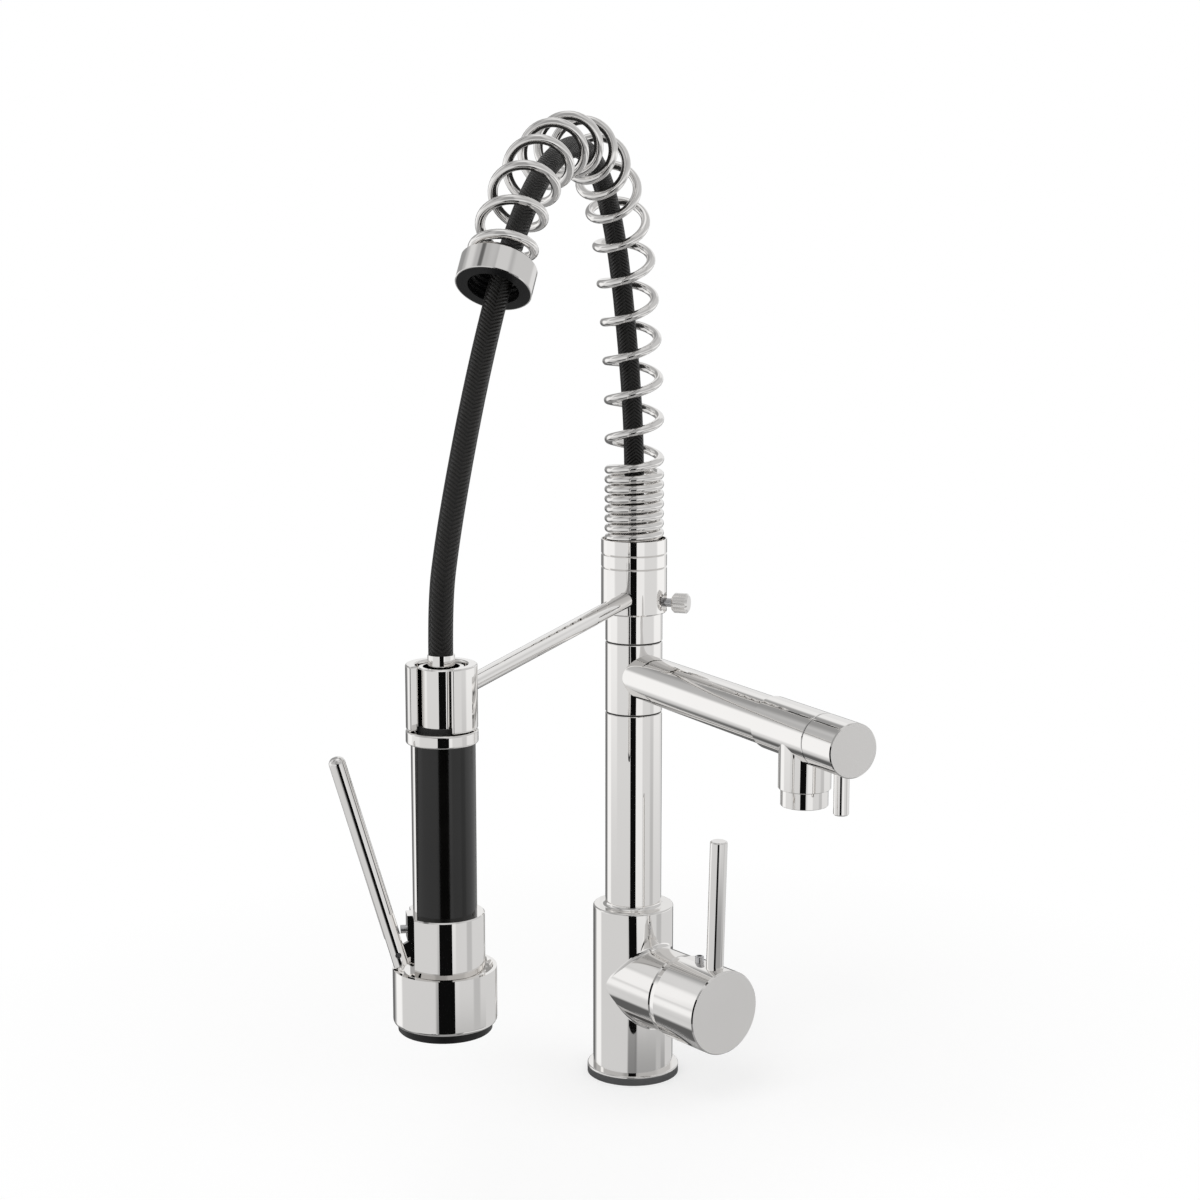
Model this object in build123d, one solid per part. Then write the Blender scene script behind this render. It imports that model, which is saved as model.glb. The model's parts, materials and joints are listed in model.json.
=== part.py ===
from build123d import *
import os
from math import ceil, cos, pi, radians, sin, sqrt, tan

os.makedirs("parts", exist_ok=True)

# Kitchen mixer tap with a sprung pull-down spray on a side arm and a second, fixed-height spout.
# Millimetres. Z is up, the deck is the plane z = 0, the column stands on the Z axis and the
# mixer valve points along +X. Angles in plan are counter-clockwise from +X.

# Fits
FIT = 0.05
RUN = 0.05
GAP = 0.3

# Base and valve body
BASE_RADIUS = 24.6
GASKET_THICKNESS = 3.9
BASE_RING_THICKNESS = 1.1
BASE_RING_ROUND = 0.7
BODY_RADIUS = 21.5
BODY_HEIGHT = 89.0
BODY_ROUND = 1.0
NECK_FILLET = 2.0
INLET_RADIUS = 17.4
INLET_BOTTOM = 1.0
INLET_HEIGHT = 23.0
INLET_THREAD_RADIUS = 4.5
INLET_THREAD_LENGTH = 12.0
STUD_THREAD_RADIUS = 3.4
STUD_THREAD_LENGTH = 12.0
STUD_OFFSET = 9.0

# Mixer valve, measured along its axis from the column axis
VALVE_RISE = 47.8
BRANCH_RADIUS = 21.3
BRANCH_END = 39.4
BRANCH_BEVEL = 1.2
BRANCH_FILLET = 2.5
CARTRIDGE_RADIUS = 17.5
CARTRIDGE_FLOOR = 4.0
CARTRIDGE_SEAL_THICKNESS = 1.5
SHELL_LENGTH = 30.5
SHELL_FLOOR = 2.0
SHELL_LIP = 3.0
SHELL_LIP_RADIUS = 12.6
SHELL_WALL = 3.5
FIXED_DISC_THICKNESS = 3.0
MOVING_DISC_THICKNESS = 3.45
MOVING_DISC_RADIUS = 11.2
PORT_RING = 8.0
PORT_RADIUS = 3.0
STEM_PIVOT = 19.4
STEM_PIN_RADIUS = 1.5
STEM_PIN_LENGTH = 24.0
STEM_RADIUS = 4.0
STEM_NOSE_RADIUS = 5.0
STEM_NOSE_START = 36.2
STEM_END = 61.5
STEM_BALL_RADIUS = 2.0
STEM_BALL_ARM = 5.8
STEM_NECK_RADIUS = 1.4
STEM_TAIL = 3.5
CARRIER_SLOT_DROP = 9.8
CARRIER_SLOT_RISE = 6.2
NUT_BORE_RADIUS = 13.6
NUT_FACE_RADIUS = 17.0
NUT_STAND = 1.0
PORT_SETBACK = 8.0

# Handle
HANDLE_SEAM = 0.4
HANDLE_RADIUS = 22.25
HANDLE_LENGTH = 34.6
HANDLE_REAR_DROP = 0.8
HANDLE_REAR_BEVEL = 3.5
HANDLE_FACE_BEVEL = 0.6
HANDLE_CAVITY_RADIUS = 20.4
HANDLE_CAVITY_DEPTH = 7.2
SET_SCREW_REACH = 14.7
SET_SCREW_RADIUS = 2.3
SET_SCREW_STAND = 3.4
SET_SCREW_KEY = 3.0
SET_SCREW_KEY_DEPTH = 2.0
SET_SCREW_BEVEL = 0.3
LEVER_REACH = 26.7
LEVER_RADIUS = 4.5
LEVER_LENGTH = 68.3
LEVER_SINK = 6.0
LEVER_LEAN = 2.0
LEVER_BEVEL = 0.7

# Column above the body
COLUMN_RADIUS = 15.0
SEAM_BEVEL = 0.3
RISER_BORE_RADIUS = 11.0
RISER_HEIGHT = 103.4
SPIGOT_RADIUS = 13.0
SPIGOT_LENGTH = 10.0
SPINDLE_RADIUS = 12.0
SPINDLE_BORE_RADIUS = 8.5
SPINDLE_SOCKET = 18.0
SPINDLE_HEAD = 7.0
SPINDLE_PORT_RADIUS = 3.0
SLIDE_RING_THICKNESS = 0.6
SLIDE_RING_INSET = 0.5
SPOUT_COLLAR_HEIGHT = 37.3
SEAL_RADIUS = 0.85
SEAL_INSET = 8.0
SLEEVE_HEIGHT = 14.9
JOURNAL_RADIUS = 12.5
JOURNAL_HEIGHT = 23.6
HOSE_PASSAGE_RADIUS = 7.5

# Spout, measured along its axis from the column axis
SPOUT_ANGLE = -9.8
SPOUT_RISE = 19.95
SPOUT_RADIUS = 12.0
SPOUT_BORE_RADIUS = 10.0
SPOUT_REACH = 135.0
SPOUT_PLUG = 10.0
SPOUT_END_RADIUS = 13.0
SPOUT_END_LENGTH = 43.4
SPOUT_WATERWAY_RADIUS = 8.0
COLLAR_GROOVE_DEPTH = 1.2
COLLAR_GROOVE_HEIGHT = 10.0
NOZZLE_SETBACK = 15.7
NOZZLE_RADIUS = 12.5
NOZZLE_DROP = 26.0
NOZZLE_THREAD_RADIUS = 10.2
NOZZLE_THREAD_DEPTH = 7.5
NOZZLE_PORT_RADIUS = 6.0
AERATOR_RADIUS = 11.3
AERATOR_HEIGHT = 8.2
AERATOR_BORE_RADIUS = 8.0
AERATOR_SEAL_THICKNESS = 1.5
AERATOR_RECESS = 1.2
AERATOR_HOLE_RADIUS = 0.7
AERATOR_RING_RADII = (2.5, 5.5)
AERATOR_HOLE_COUNTS = (6, 12)
TAP_SEAM = 0.5
TAP_CAP_LENGTH = 23.1
TAP_CAP_BEVEL = 0.5
TAP_SPINDLE_RADIUS = 3.0
TAP_SPINDLE_SOCKET = 9.6
TAP_DISC_RADIUS = 6.0
TAP_DISC_THICKNESS = 2.0
TAP_HEADWORK_LENGTH = 9.0
TAP_LEVER_REACH = 14.1
TAP_LEVER_RADIUS = 3.65
TAP_LEVER_DROP = 32.0
TAP_LEVER_SINK = 7.0
TAP_LEVER_BEVEL = 0.6

# Arm collar, thumb screw and spring seat
COLLAR_RADIUS = 17.25
ARM_COLLAR_HEIGHT = 24.1
RETAINING_RING_HEIGHT = 7.0
EDGE_BEVEL = 0.5
SEAT_THICKNESS = 4.7
SEAT_RIM_HEIGHT = 3.0
SEAT_RIM_WALL = 0.65
THUMB_ANGLE = 33.3
THUMB_RISE = 5.6
THUMB_STUD_RADIUS = 2.25
THUMB_KNOB_RADIUS = 5.2
THUMB_KNOB_LENGTH = 8.6
THUMB_KNOB_STAND = 4.15
THUMB_KNOB_BEVEL = 1.2
THUMB_KNOB_SOCKET = 6.0
THUMB_RECESS_DEPTH = 1.6
KNURL_COUNT = 24
KNURL_RADIUS = 0.4
LOWER_FERRULE_RADIUS = 6.6
LOWER_FERRULE_FOOT_RADIUS = 7.3
LOWER_FERRULE_FOOT = 5.0
LOWER_FERRULE_STAND = 21.0

# Support arm and dock clip
ARM_ANGLE = -56.7
ARM_RISE = 8.2
ARM_REACH = 270.2
ARM_ROOT_RADIUS = 4.2
ARM_TIP_RADIUS = 3.6
ARM_SOCKET_RADIUS = 13.6
CLIP_RADIUS = 15.1
CLIP_BORE_RADIUS = 11.0
CLIP_HEIGHT = 27.4
CLIP_DROP = 12.2
CLIP_OPENING = 78.0
CLIP_ROUND = 0.8
CLIP_SOCKET = 2.5
DOCK_GAP = 0.5

# Spray head, from the clip down
NECK_RADIUS = 9.9
NECK_HEIGHT = 26.8
NECK_HOLE_RADIUS = 7.8
NECK_HOLE_DEPTH = 13.5
NECK_SPIGOT_RADIUS = 6.0
NECK_SPIGOT_LENGTH = 12.7
DOCK_SEAL_RADIUS = 10.6
DOCK_SEAL_BORE_RADIUS = 8.5
DOCK_SEAL_HEIGHT = 1.9
FERRULE_RADIUS = 5.7
FERRULE_STAND = 5.0
FERRULE_PIN_RADIUS = 4.0
FERRULE_PIN_LENGTH = 12.0
FERRULE_BORE_RADIUS = 2.5
FLANGE_RADIUS = 15.25
FLANGE_HEIGHT = 5.5
FLANGE_ROUND = 0.8
GRIP_RADIUS = 14.0
GRIP_WALL = 0.8
GRIP_HEIGHT = 73.8
GRIP_SLOT_ANGLE = 58.0
WATERWAY_RADIUS = 5.0
BLOCK_RADIUS = 17.25
BLOCK_HEIGHT = 25.2
BLOCK_FLAT = 13.8
CUP_RADIUS = 22.2
CUP_WALL = 1.6
CUP_HEIGHT = 24.5
CUP_LIP = 1.3
DISH_RADIUS = 19.4
DISH_DEPTH = 1.7
CUP_ROUND = 2.0
CHAMBER_RADIUS = 17.0
CHAMBER_DEPTH = 9.0
RIM_RADIUS = 20.1
RIM_HEIGHT = 3.4
RIM_BORE_RADIUS = 15.5
RIM_LEDGE = 1.5
RIM_SPIGOT = 5.0
FACE_RECESS = 1.0
FACE_THICKNESS = 3.0
NUB_RADIUS = 0.9
NUB_RING_RADII = (4.5, 8.5, 12.5)
NUB_COUNTS = (6, 12, 18)

# Spray trigger, on the side of the head that LEVER_SIDE names
LEVER_SIDE = -118.6
TRIGGER_RADIUS = 3.5
TRIGGER_LENGTH = 89.8
TRIGGER_TAIL = 5.2
TRIGGER_LEAN = 16.0
TRIGGER_ROUND = 2.8
TRIGGER_SLOT = 8.0
TRIGGER_PIVOT_OFFSET = 20.0
TRIGGER_PIVOT_RISE = 7.8
TRIGGER_PIN_RADIUS = 1.25
TRIGGER_PIN_LENGTH = 6.4
BRACKET_THICKNESS = 2.0
BRACKET_ROUND_RADIUS = 2.6
BRACKET_HEIGHT = 12.0
PLUNGER_RADIUS = 1.8
PLUNGER_RISE = 18.3
PLUNGER_INNER = 6.0
VALVE_PLATE_THICKNESS = 2.2
VALVE_PLATE_WIDTH = 8.0

# Spring: wire, turns and the centreline it winds round
SPRING_PLANE = -58.15
WIRE_RADIUS = 2.25
COIL_RADIUS = 13.3
SPRING_STRAIGHT = 51.0
ARCH_BENDS = ((300.7, 19.3), (79.5, 75.9), (112.5, 49.0))
SPRING_TAIL = 7.1
SPRING_START_ANGLE = -123.4
SPRING_END_LIFT = 0.4
CLOSE_PITCH = 5.1
CLOSE_TURNS = 7.15
RAMP_TURNS = 0.6
OPEN_TURNS = 14.4
END_TURNS = 1.0
STEPS_PER_TURN = 4
GAP_POINTS_PER_TURN = 24
LEAST_SPRING_GAP = 0.4

# Spring end cap
END_CAP_RADIUS = 17.25
END_CAP_HEIGHT = 14.5
END_CAP_TOP = 2.0
END_CAP_BEVEL = 2.4
END_CAP_EDGE = 0.25
END_CAP_HOLE_RADIUS = 10.5
BUSH_RADIUS = 16.6
BUSH_BORE_RADIUS = 11.6
BUSH_GROOVES = 4
BUSH_GROOVE_DEPTH = 0.7

# Hose: route points as reach, side and height above the seat floor, in the plane of the spring
HOSE_RADIUS = 5.2
HOSE_BEND = 0.45
HOSE_ROUTE = (
    (0.0, 0.0, 21.0),
    (0.0, 0.0, 47.0),
    (2.0, -0.8, 77.0),
    (6.8, -1.8, 108.0),
    (14.5, -2.4, 139.0),
    (27.0, -2.6, 168.0),
    (49.0, -1.5, 191.5),
    (80.0, 0.0, 203.8),
    (113.0, 1.5, 200.0),
    (143.0, 2.4, 187.8),
    (167.5, 2.6, 168.5),
    (187.0, 1.2, 143.0),
    (206.5, 1.4, 116.0),
    (226.5, 2.9, 89.5),
    (245.5, 4.5, 61.5),
    (260.7, 5.9, 36.5),
    (270.12, 6.65, 14.5),
    (270.12, 6.65, -8.5),
)
HOSE_SPLIT_POINT = 11

# Heights that follow from the sizes above
BODY_BOTTOM = GASKET_THICKNESS + BASE_RING_THICKNESS
BODY_TOP = BODY_BOTTOM + BODY_HEIGHT
INLET_TOP = INLET_BOTTOM + INLET_HEIGHT
VALVE_Z = BODY_BOTTOM + VALVE_RISE
OUTLET_LEVEL = VALVE_Z + PORT_RING
INLET_LEVEL = VALVE_Z - PORT_RING / 2
INLET_SPREAD = PORT_RING * sin(radians(60))
RISER_BOTTOM = BODY_TOP + NECK_FILLET
RISER_TOP = RISER_BOTTOM + RISER_HEIGHT
COLLAR_BOTTOM = RISER_TOP + SLIDE_RING_THICKNESS + RUN
COLLAR_TOP = COLLAR_BOTTOM + SPOUT_COLLAR_HEIGHT
SPOUT_Z = COLLAR_BOTTOM + SPOUT_RISE
SEAL_LEVELS = (COLLAR_BOTTOM + SEAL_INSET, COLLAR_TOP - SEAL_INSET)
SLEEVE_BOTTOM = COLLAR_TOP + RUN + SLIDE_RING_THICKNESS
SLEEVE_TOP = SLEEVE_BOTTOM + SLEEVE_HEIGHT
ARM_COLLAR_BOTTOM = SLEEVE_TOP + GAP
ARM_COLLAR_TOP = ARM_COLLAR_BOTTOM + ARM_COLLAR_HEIGHT
RING_TOP = ARM_COLLAR_TOP + RETAINING_RING_HEIGHT
SEAT_FLOOR = RING_TOP + SEAT_THICKNESS
SEAT_TOP = SEAT_FLOOR + SEAT_RIM_HEIGHT
HOSE_START = SEAT_FLOOR + LOWER_FERRULE_STAND
ARM_Z = ARM_COLLAR_BOTTOM + ARM_RISE
THUMB_Z = ARM_COLLAR_BOTTOM + THUMB_RISE
CLIP_BOTTOM = ARM_Z - CLIP_DROP
FLANGE_TOP = CLIP_BOTTOM - DOCK_GAP
FLANGE_BOTTOM = FLANGE_TOP - FLANGE_HEIGHT
GRIP_BOTTOM = FLANGE_BOTTOM - GRIP_HEIGHT
BLOCK_BOTTOM = GRIP_BOTTOM - BLOCK_HEIGHT
CUP_TOP = BLOCK_BOTTOM + CUP_LIP
CUP_BOTTOM = CUP_TOP - CUP_HEIGHT
RIM_BOTTOM = CUP_BOTTOM - RIM_HEIGHT
NECK_TOP = FLANGE_TOP + NECK_HEIGHT
NECK_HOLE_FLOOR = NECK_TOP - NECK_HOLE_DEPTH
FERRULE_TOP = NECK_TOP + FERRULE_STAND
FACE_TOP = RIM_BOTTOM + FACE_RECESS + FACE_THICKNESS
TRIGGER_PIVOT_Z = BLOCK_BOTTOM + TRIGGER_PIVOT_RISE
PLUNGER_Z = BLOCK_BOTTOM + PLUNGER_RISE

# Lengths along the mixer valve
SHELL_START = CARTRIDGE_FLOOR + CARTRIDGE_SEAL_THICKNESS
SHELL_END = SHELL_START + SHELL_LENGTH
SHELL_BORE_RADIUS = CARTRIDGE_RADIUS - SHELL_WALL
DISC_START = SHELL_START + SHELL_FLOOR
DISC_SEAM = DISC_START + FIXED_DISC_THICKNESS
MOVING_DISC_END = DISC_SEAM + RUN + MOVING_DISC_THICKNESS
CARRIER_START = MOVING_DISC_END + GAP
CARRIER_END = SHELL_END - SHELL_LIP - GAP
NUT_END = BRANCH_END + NUT_STAND
HANDLE_START = BRANCH_END + HANDLE_SEAM
HANDLE_END = HANDLE_START + HANDLE_LENGTH
HANDLE_FLOOR = HANDLE_START + HANDLE_CAVITY_DEPTH
SET_SCREW_X = HANDLE_START + SET_SCREW_REACH
LEVER_X = HANDLE_START + LEVER_REACH
LEVER_FOOT_Z = VALVE_Z + HANDLE_RADIUS

# Lengths along the spout
NOZZLE_REACH = SPOUT_REACH + SPOUT_END_LENGTH - NOZZLE_SETBACK
SPOUT_END = SPOUT_REACH + SPOUT_END_LENGTH
NOZZLE_BOTTOM = SPOUT_Z - NOZZLE_DROP
TAP_CAP_START = SPOUT_END + TAP_SEAM
TAP_CAP_END = TAP_CAP_START + TAP_CAP_LENGTH
TAP_LEVER_X = TAP_CAP_START + TAP_LEVER_REACH
HEADWORK_START = SPOUT_END - TAP_HEADWORK_LENGTH
AERATOR_TOP = NOZZLE_BOTTOM + NOZZLE_THREAD_DEPTH - AERATOR_SEAL_THICKNESS
TAP_LEVER_BOTTOM = SPOUT_Z - TAP_LEVER_DROP
TAP_LEVER_TOP = SPOUT_Z - SPOUT_END_RADIUS + TAP_LEVER_SINK
THUMB_KNOB_START = COLLAR_RADIUS + THUMB_KNOB_STAND

# Lengths along the spring
ARCH_LENGTH = SPRING_STRAIGHT + sum(radius * radians(angle) for radius, angle in ARCH_BENDS) + SPRING_TAIL
SPRING_FOOT = WIRE_RADIUS + SPRING_END_LIFT
SPRING_TURNS = CLOSE_TURNS + RAMP_TURNS + OPEN_TURNS + END_TURNS
BLEND_TURNS = (RAMP_TURNS + END_TURNS) / 2
OPEN_PITCH = (ARCH_LENGTH - 2 * SPRING_FOOT - CLOSE_PITCH * (CLOSE_TURNS + BLEND_TURNS)) / (
    OPEN_TURNS + BLEND_TURNS
)
SPRING_STAGES = (
    (CLOSE_TURNS, CLOSE_PITCH, CLOSE_PITCH),
    (RAMP_TURNS, CLOSE_PITCH, OPEN_PITCH),
    (OPEN_TURNS, OPEN_PITCH, OPEN_PITCH),
    (END_TURNS, OPEN_PITCH, CLOSE_PITCH),
)

# Frames: a piece turned about its own Z is laid along one of these axes
VALVE = Pos(0, 0, VALVE_Z) * Rot(0, 90, 0)
HANDLE_LEVER = Pos(LEVER_X, 0, LEVER_FOOT_Z) * Rot(0, LEVER_LEAN, 0)
SPOUT_TURN = Rot(0, 0, SPOUT_ANGLE)
SPOUT = SPOUT_TURN * Pos(0, 0, SPOUT_Z) * Rot(0, 90, 0)
NOZZLE = SPOUT_TURN * Pos(NOZZLE_REACH, 0, 0)
TAP_LEVER = SPOUT_TURN * Pos(TAP_LEVER_X, 0, 0)
ARM_TURN = Rot(0, 0, ARM_ANGLE)
ARM = ARM_TURN * Pos(0, 0, ARM_Z) * Rot(0, 90, 0)
THUMB = Rot(0, 0, THUMB_ANGLE) * Pos(0, 0, THUMB_Z) * Rot(0, 90, 0)
HEAD_X = ARM_REACH * cos(radians(ARM_ANGLE))
HEAD_Y = ARM_REACH * sin(radians(ARM_ANGLE))
HEAD = Pos(HEAD_X, HEAD_Y, 0) * Rot(0, 0, LEVER_SIDE)
PLUNGER = HEAD * Pos(0, 0, PLUNGER_Z) * Rot(0, 90, 0)
TRIGGER = HEAD * Pos(TRIGGER_PIVOT_OFFSET, 0, TRIGGER_PIVOT_Z) * Rot(0, TRIGGER_LEAN, 0)
ARCH_UP = Vector(0, 0, 1)
ARCH_OUT = Vector(1, 0, 0).rotate(Axis.Z, SPRING_PLANE)
ARCH_SIDE = ARCH_UP.cross(ARCH_OUT)


def rod(radius, bottom, top):
    """Plain cylinder on the Z axis between two heights."""
    align = (Align.CENTER, Align.CENTER, Align.MIN)
    return Pos(0, 0, bottom) * Cylinder(radius, top - bottom, align=align)


def pipe(outer, inner, bottom, top):
    """Plain tube on the Z axis between two heights."""
    return rod(outer, bottom, top) - rod(inner, bottom, top)


def turned(*points):
    """Solid of revolution about Z of an outline given as radius and height."""
    corners = list(dict.fromkeys(points))
    outline = Polyline(*[(radius, 0, height) for radius, height in corners], close=True)
    return revolve(make_face(outline), Axis.Z)


def bevelled(radius, bottom, top, foot, crown):
    """Cylinder on the Z axis with a 45 degree bevel at its foot and at its crown."""
    return turned(
        (0, bottom),
        (radius - foot, bottom),
        (radius, bottom + foot),
        (radius, top - crown),
        (radius - crown, top),
        (0, top),
    )


def ring_of(shape, radius, count):
    """Copies of a shape set evenly on a circle about Z."""
    return [Rot(0, 0, 360 * step / count) * Pos(radius, 0, 0) * shape for step in range(count)]


def sector(radius, angle, bottom, top):
    """Wedge of a cylinder, centred on +X."""
    side = 2 * radius
    half = radians(angle / 2)
    wedge = Polyline(
        (0, 0),
        (side * cos(half), -side * sin(half)),
        (side * cos(half), side * sin(half)),
        close=True,
    )
    return Pos(0, 0, bottom) * extrude(make_face(wedge), top - bottom)


# Base and valve body


def base_gasket():
    return pipe(BASE_RADIUS, INLET_RADIUS + GAP, 0, GASKET_THICKNESS)


def base_ring():
    ring = rod(BASE_RADIUS, GASKET_THICKNESS, BODY_BOTTOM)
    ring = fillet(ring.edges().group_by(Axis.Z)[-1], BASE_RING_ROUND)
    return ring - rod(INLET_RADIUS + FIT, GASKET_THICKNESS, BODY_BOTTOM)


def valve_ports(start, end):
    """Outlet port above the valve axis and two inlet ports below it."""
    ports = ring_of(rod(PORT_RADIUS, start, end), PORT_RING, 3)
    return [Rot(0, 0, 180) * port for port in ports]


def inlet_channels(radius, bottom, top):
    """Hot and cold upright channels."""
    channel = rod(radius, bottom, top)
    return [Pos(-PORT_SETBACK, side * INLET_SPREAD, 0) * channel for side in (-1, 1)]


def valve_body():
    body = rod(BODY_RADIUS, BODY_BOTTOM, BODY_TOP)
    body = fillet(body.edges().group_by(Axis.Z)[-1], BODY_ROUND)
    neck = rod(COLUMN_RADIUS + NECK_FILLET, BODY_TOP, RISER_BOTTOM)
    neck -= Pos(0, 0, RISER_BOTTOM) * Torus(COLUMN_RADIUS + NECK_FILLET, NECK_FILLET)
    body += neck
    body += VALVE * bevelled(BRANCH_RADIUS, 0, BRANCH_END, 0, BRANCH_BEVEL)
    body = fillet(body.edges().filter_by(GeomType.BSPLINE), BRANCH_FILLET)
    body -= rod(INLET_RADIUS + FIT, BODY_BOTTOM, INLET_TOP)
    body -= VALVE * rod(CARTRIDGE_RADIUS + FIT, CARTRIDGE_FLOOR, BRANCH_END)
    body -= rod(SPIGOT_RADIUS + FIT, RISER_BOTTOM - SPIGOT_LENGTH, RISER_BOTTOM)
    body -= inlet_channels(PORT_RADIUS, INLET_TOP, INLET_LEVEL)
    body -= [VALVE * port for port in valve_ports(-PORT_SETBACK, CARTRIDGE_FLOOR)]
    body -= Pos(-PORT_SETBACK, 0, 0) * rod(PORT_RADIUS, OUTLET_LEVEL, RISER_BOTTOM - SPIGOT_LENGTH)
    return body


def inlet_block():
    block = rod(INLET_RADIUS, INLET_BOTTOM, INLET_TOP)
    block -= inlet_channels(INLET_THREAD_RADIUS, INLET_BOTTOM, INLET_BOTTOM + INLET_THREAD_LENGTH)
    block -= inlet_channels(PORT_RADIUS, INLET_BOTTOM, INLET_TOP)
    stud = rod(STUD_THREAD_RADIUS, INLET_BOTTOM, INLET_BOTTOM + STUD_THREAD_LENGTH)
    return block - Pos(STUD_OFFSET, 0, 0) * stud


# Mixer cartridge, turned about the valve axis


def cross_pin(radius, length, place):
    """Pin across the axis, along Y, at a place on the axis."""
    return Pos(0, 0, place) * Rot(90, 0, 0) * Cylinder(radius, length)


def cartridge_seal():
    seal = rod(CARTRIDGE_RADIUS, CARTRIDGE_FLOOR, SHELL_START)
    return VALVE * (seal - valve_ports(CARTRIDGE_FLOOR, SHELL_START))


def cartridge_shell():
    shell = rod(CARTRIDGE_RADIUS, SHELL_START, SHELL_END)
    shell -= rod(SHELL_BORE_RADIUS, DISC_START, SHELL_END - SHELL_LIP)
    shell -= rod(SHELL_LIP_RADIUS, SHELL_END - SHELL_LIP, SHELL_END)
    return VALVE * (shell - valve_ports(SHELL_START, DISC_START))


def fixed_disc():
    disc = rod(SHELL_BORE_RADIUS - FIT, DISC_START, DISC_SEAM)
    return VALVE * (disc - valve_ports(DISC_START, DISC_SEAM))


def moving_disc():
    disc = rod(MOVING_DISC_RADIUS, DISC_SEAM + RUN, MOVING_DISC_END)
    pocket_floor = STEM_PIVOT - STEM_BALL_ARM - STEM_BALL_RADIUS - 2 * RUN
    return VALVE * (disc - rod(STEM_BALL_RADIUS + GAP, pocket_floor, MOVING_DISC_END))


def stem_carrier():
    carrier = rod(SHELL_BORE_RADIUS - RUN, CARRIER_START, CARRIER_END)
    slot = Box(
        CARRIER_SLOT_RISE + CARRIER_SLOT_DROP,
        2 * (STEM_RADIUS + GAP),
        CARRIER_END - CARRIER_START,
        align=(Align.MIN, Align.CENTER, Align.MIN),
    )
    carrier -= Pos(-CARRIER_SLOT_RISE, 0, CARRIER_START) * slot
    return VALVE * (carrier - cross_pin(STEM_PIN_RADIUS + FIT, STEM_PIN_LENGTH, STEM_PIVOT))


def stem_pivot_pin():
    return VALVE * cross_pin(STEM_PIN_RADIUS, STEM_PIN_LENGTH, STEM_PIVOT)


def cartridge_stem():
    ball_place = STEM_PIVOT - STEM_BALL_ARM
    stem = rod(STEM_RADIUS, STEM_PIVOT - STEM_TAIL, STEM_NOSE_START)
    stem += rod(STEM_NOSE_RADIUS, STEM_NOSE_START, STEM_END)
    stem += rod(STEM_NECK_RADIUS, ball_place, STEM_PIVOT)
    stem += Pos(0, 0, ball_place) * Sphere(STEM_BALL_RADIUS)
    return VALVE * (stem - cross_pin(STEM_PIN_RADIUS + RUN, 2 * STEM_NOSE_RADIUS, STEM_PIVOT))


def cartridge_nut():
    nut = pipe(CARTRIDGE_RADIUS, NUT_BORE_RADIUS, SHELL_END, BRANCH_END)
    return VALVE * (nut + pipe(NUT_FACE_RADIUS, NUT_BORE_RADIUS, BRANCH_END, NUT_END))


# Handle


def handle_cap():
    cap = turned(
        (0, HANDLE_START),
        (HANDLE_RADIUS - HANDLE_REAR_DROP, HANDLE_START),
        (HANDLE_RADIUS, HANDLE_START + HANDLE_REAR_BEVEL),
        (HANDLE_RADIUS, HANDLE_END - HANDLE_FACE_BEVEL),
        (HANDLE_RADIUS - HANDLE_FACE_BEVEL, HANDLE_END),
        (0, HANDLE_END),
    )
    cap -= rod(HANDLE_CAVITY_RADIUS, HANDLE_START, HANDLE_FLOOR)
    cap -= rod(STEM_NOSE_RADIUS + FIT, HANDLE_FLOOR, STEM_END + FIT)
    cap = VALVE * cap
    cap -= Pos(SET_SCREW_X, 0, VALVE_Z) * rod(SET_SCREW_RADIUS + FIT, 0, HANDLE_RADIUS + SET_SCREW_STAND)
    return cap - HANDLE_LEVER * rod(LEVER_RADIUS + FIT, -LEVER_SINK, LEVER_LENGTH)


def handle_lever():
    return HANDLE_LEVER * bevelled(LEVER_RADIUS, -LEVER_SINK, LEVER_LENGTH, 0, LEVER_BEVEL)


def handle_set_screw():
    top = HANDLE_RADIUS + SET_SCREW_STAND
    screw = bevelled(SET_SCREW_RADIUS, STEM_NOSE_RADIUS + FIT, top, 0, SET_SCREW_BEVEL)
    key = extrude(RegularPolygon(SET_SCREW_KEY / 2, 6), SET_SCREW_KEY_DEPTH)
    return Pos(SET_SCREW_X, 0, VALVE_Z) * (screw - Pos(0, 0, top - SET_SCREW_KEY_DEPTH) * key)


# Column


def riser_tube():
    riser = bevelled(COLUMN_RADIUS, RISER_BOTTOM, RISER_TOP, SEAM_BEVEL, SEAM_BEVEL)
    riser += rod(SPIGOT_RADIUS, RISER_BOTTOM - SPIGOT_LENGTH, RISER_BOTTOM)
    riser -= rod(RISER_BORE_RADIUS, RISER_BOTTOM - SPIGOT_LENGTH, RISER_TOP)
    return riser - rod(SPINDLE_RADIUS + FIT, RISER_TOP - SPINDLE_SOCKET, RISER_TOP)


def swivel_spindle():
    bottom = RISER_TOP - SPINDLE_SOCKET
    spindle = pipe(SPINDLE_RADIUS, SPINDLE_BORE_RADIUS, bottom, SLEEVE_BOTTOM + SPINDLE_HEAD)
    half = SEAL_RADIUS + FIT
    groove = pipe(SPINDLE_RADIUS, SPINDLE_RADIUS - SEAL_RADIUS - half, -half, half)
    for level in SEAL_LEVELS:
        spindle -= Pos(0, 0, level) * groove
    return spindle - SPOUT * rod(SPINDLE_PORT_RADIUS, -SPINDLE_RADIUS, SPINDLE_RADIUS)


def spout_seal(level):
    return Pos(0, 0, level) * Torus(SPINDLE_RADIUS - SEAL_RADIUS, SEAL_RADIUS)


def slide_ring(bottom):
    outer = COLUMN_RADIUS - SLIDE_RING_INSET
    return pipe(outer, SPINDLE_RADIUS + FIT, bottom, bottom + SLIDE_RING_THICKNESS)


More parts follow.
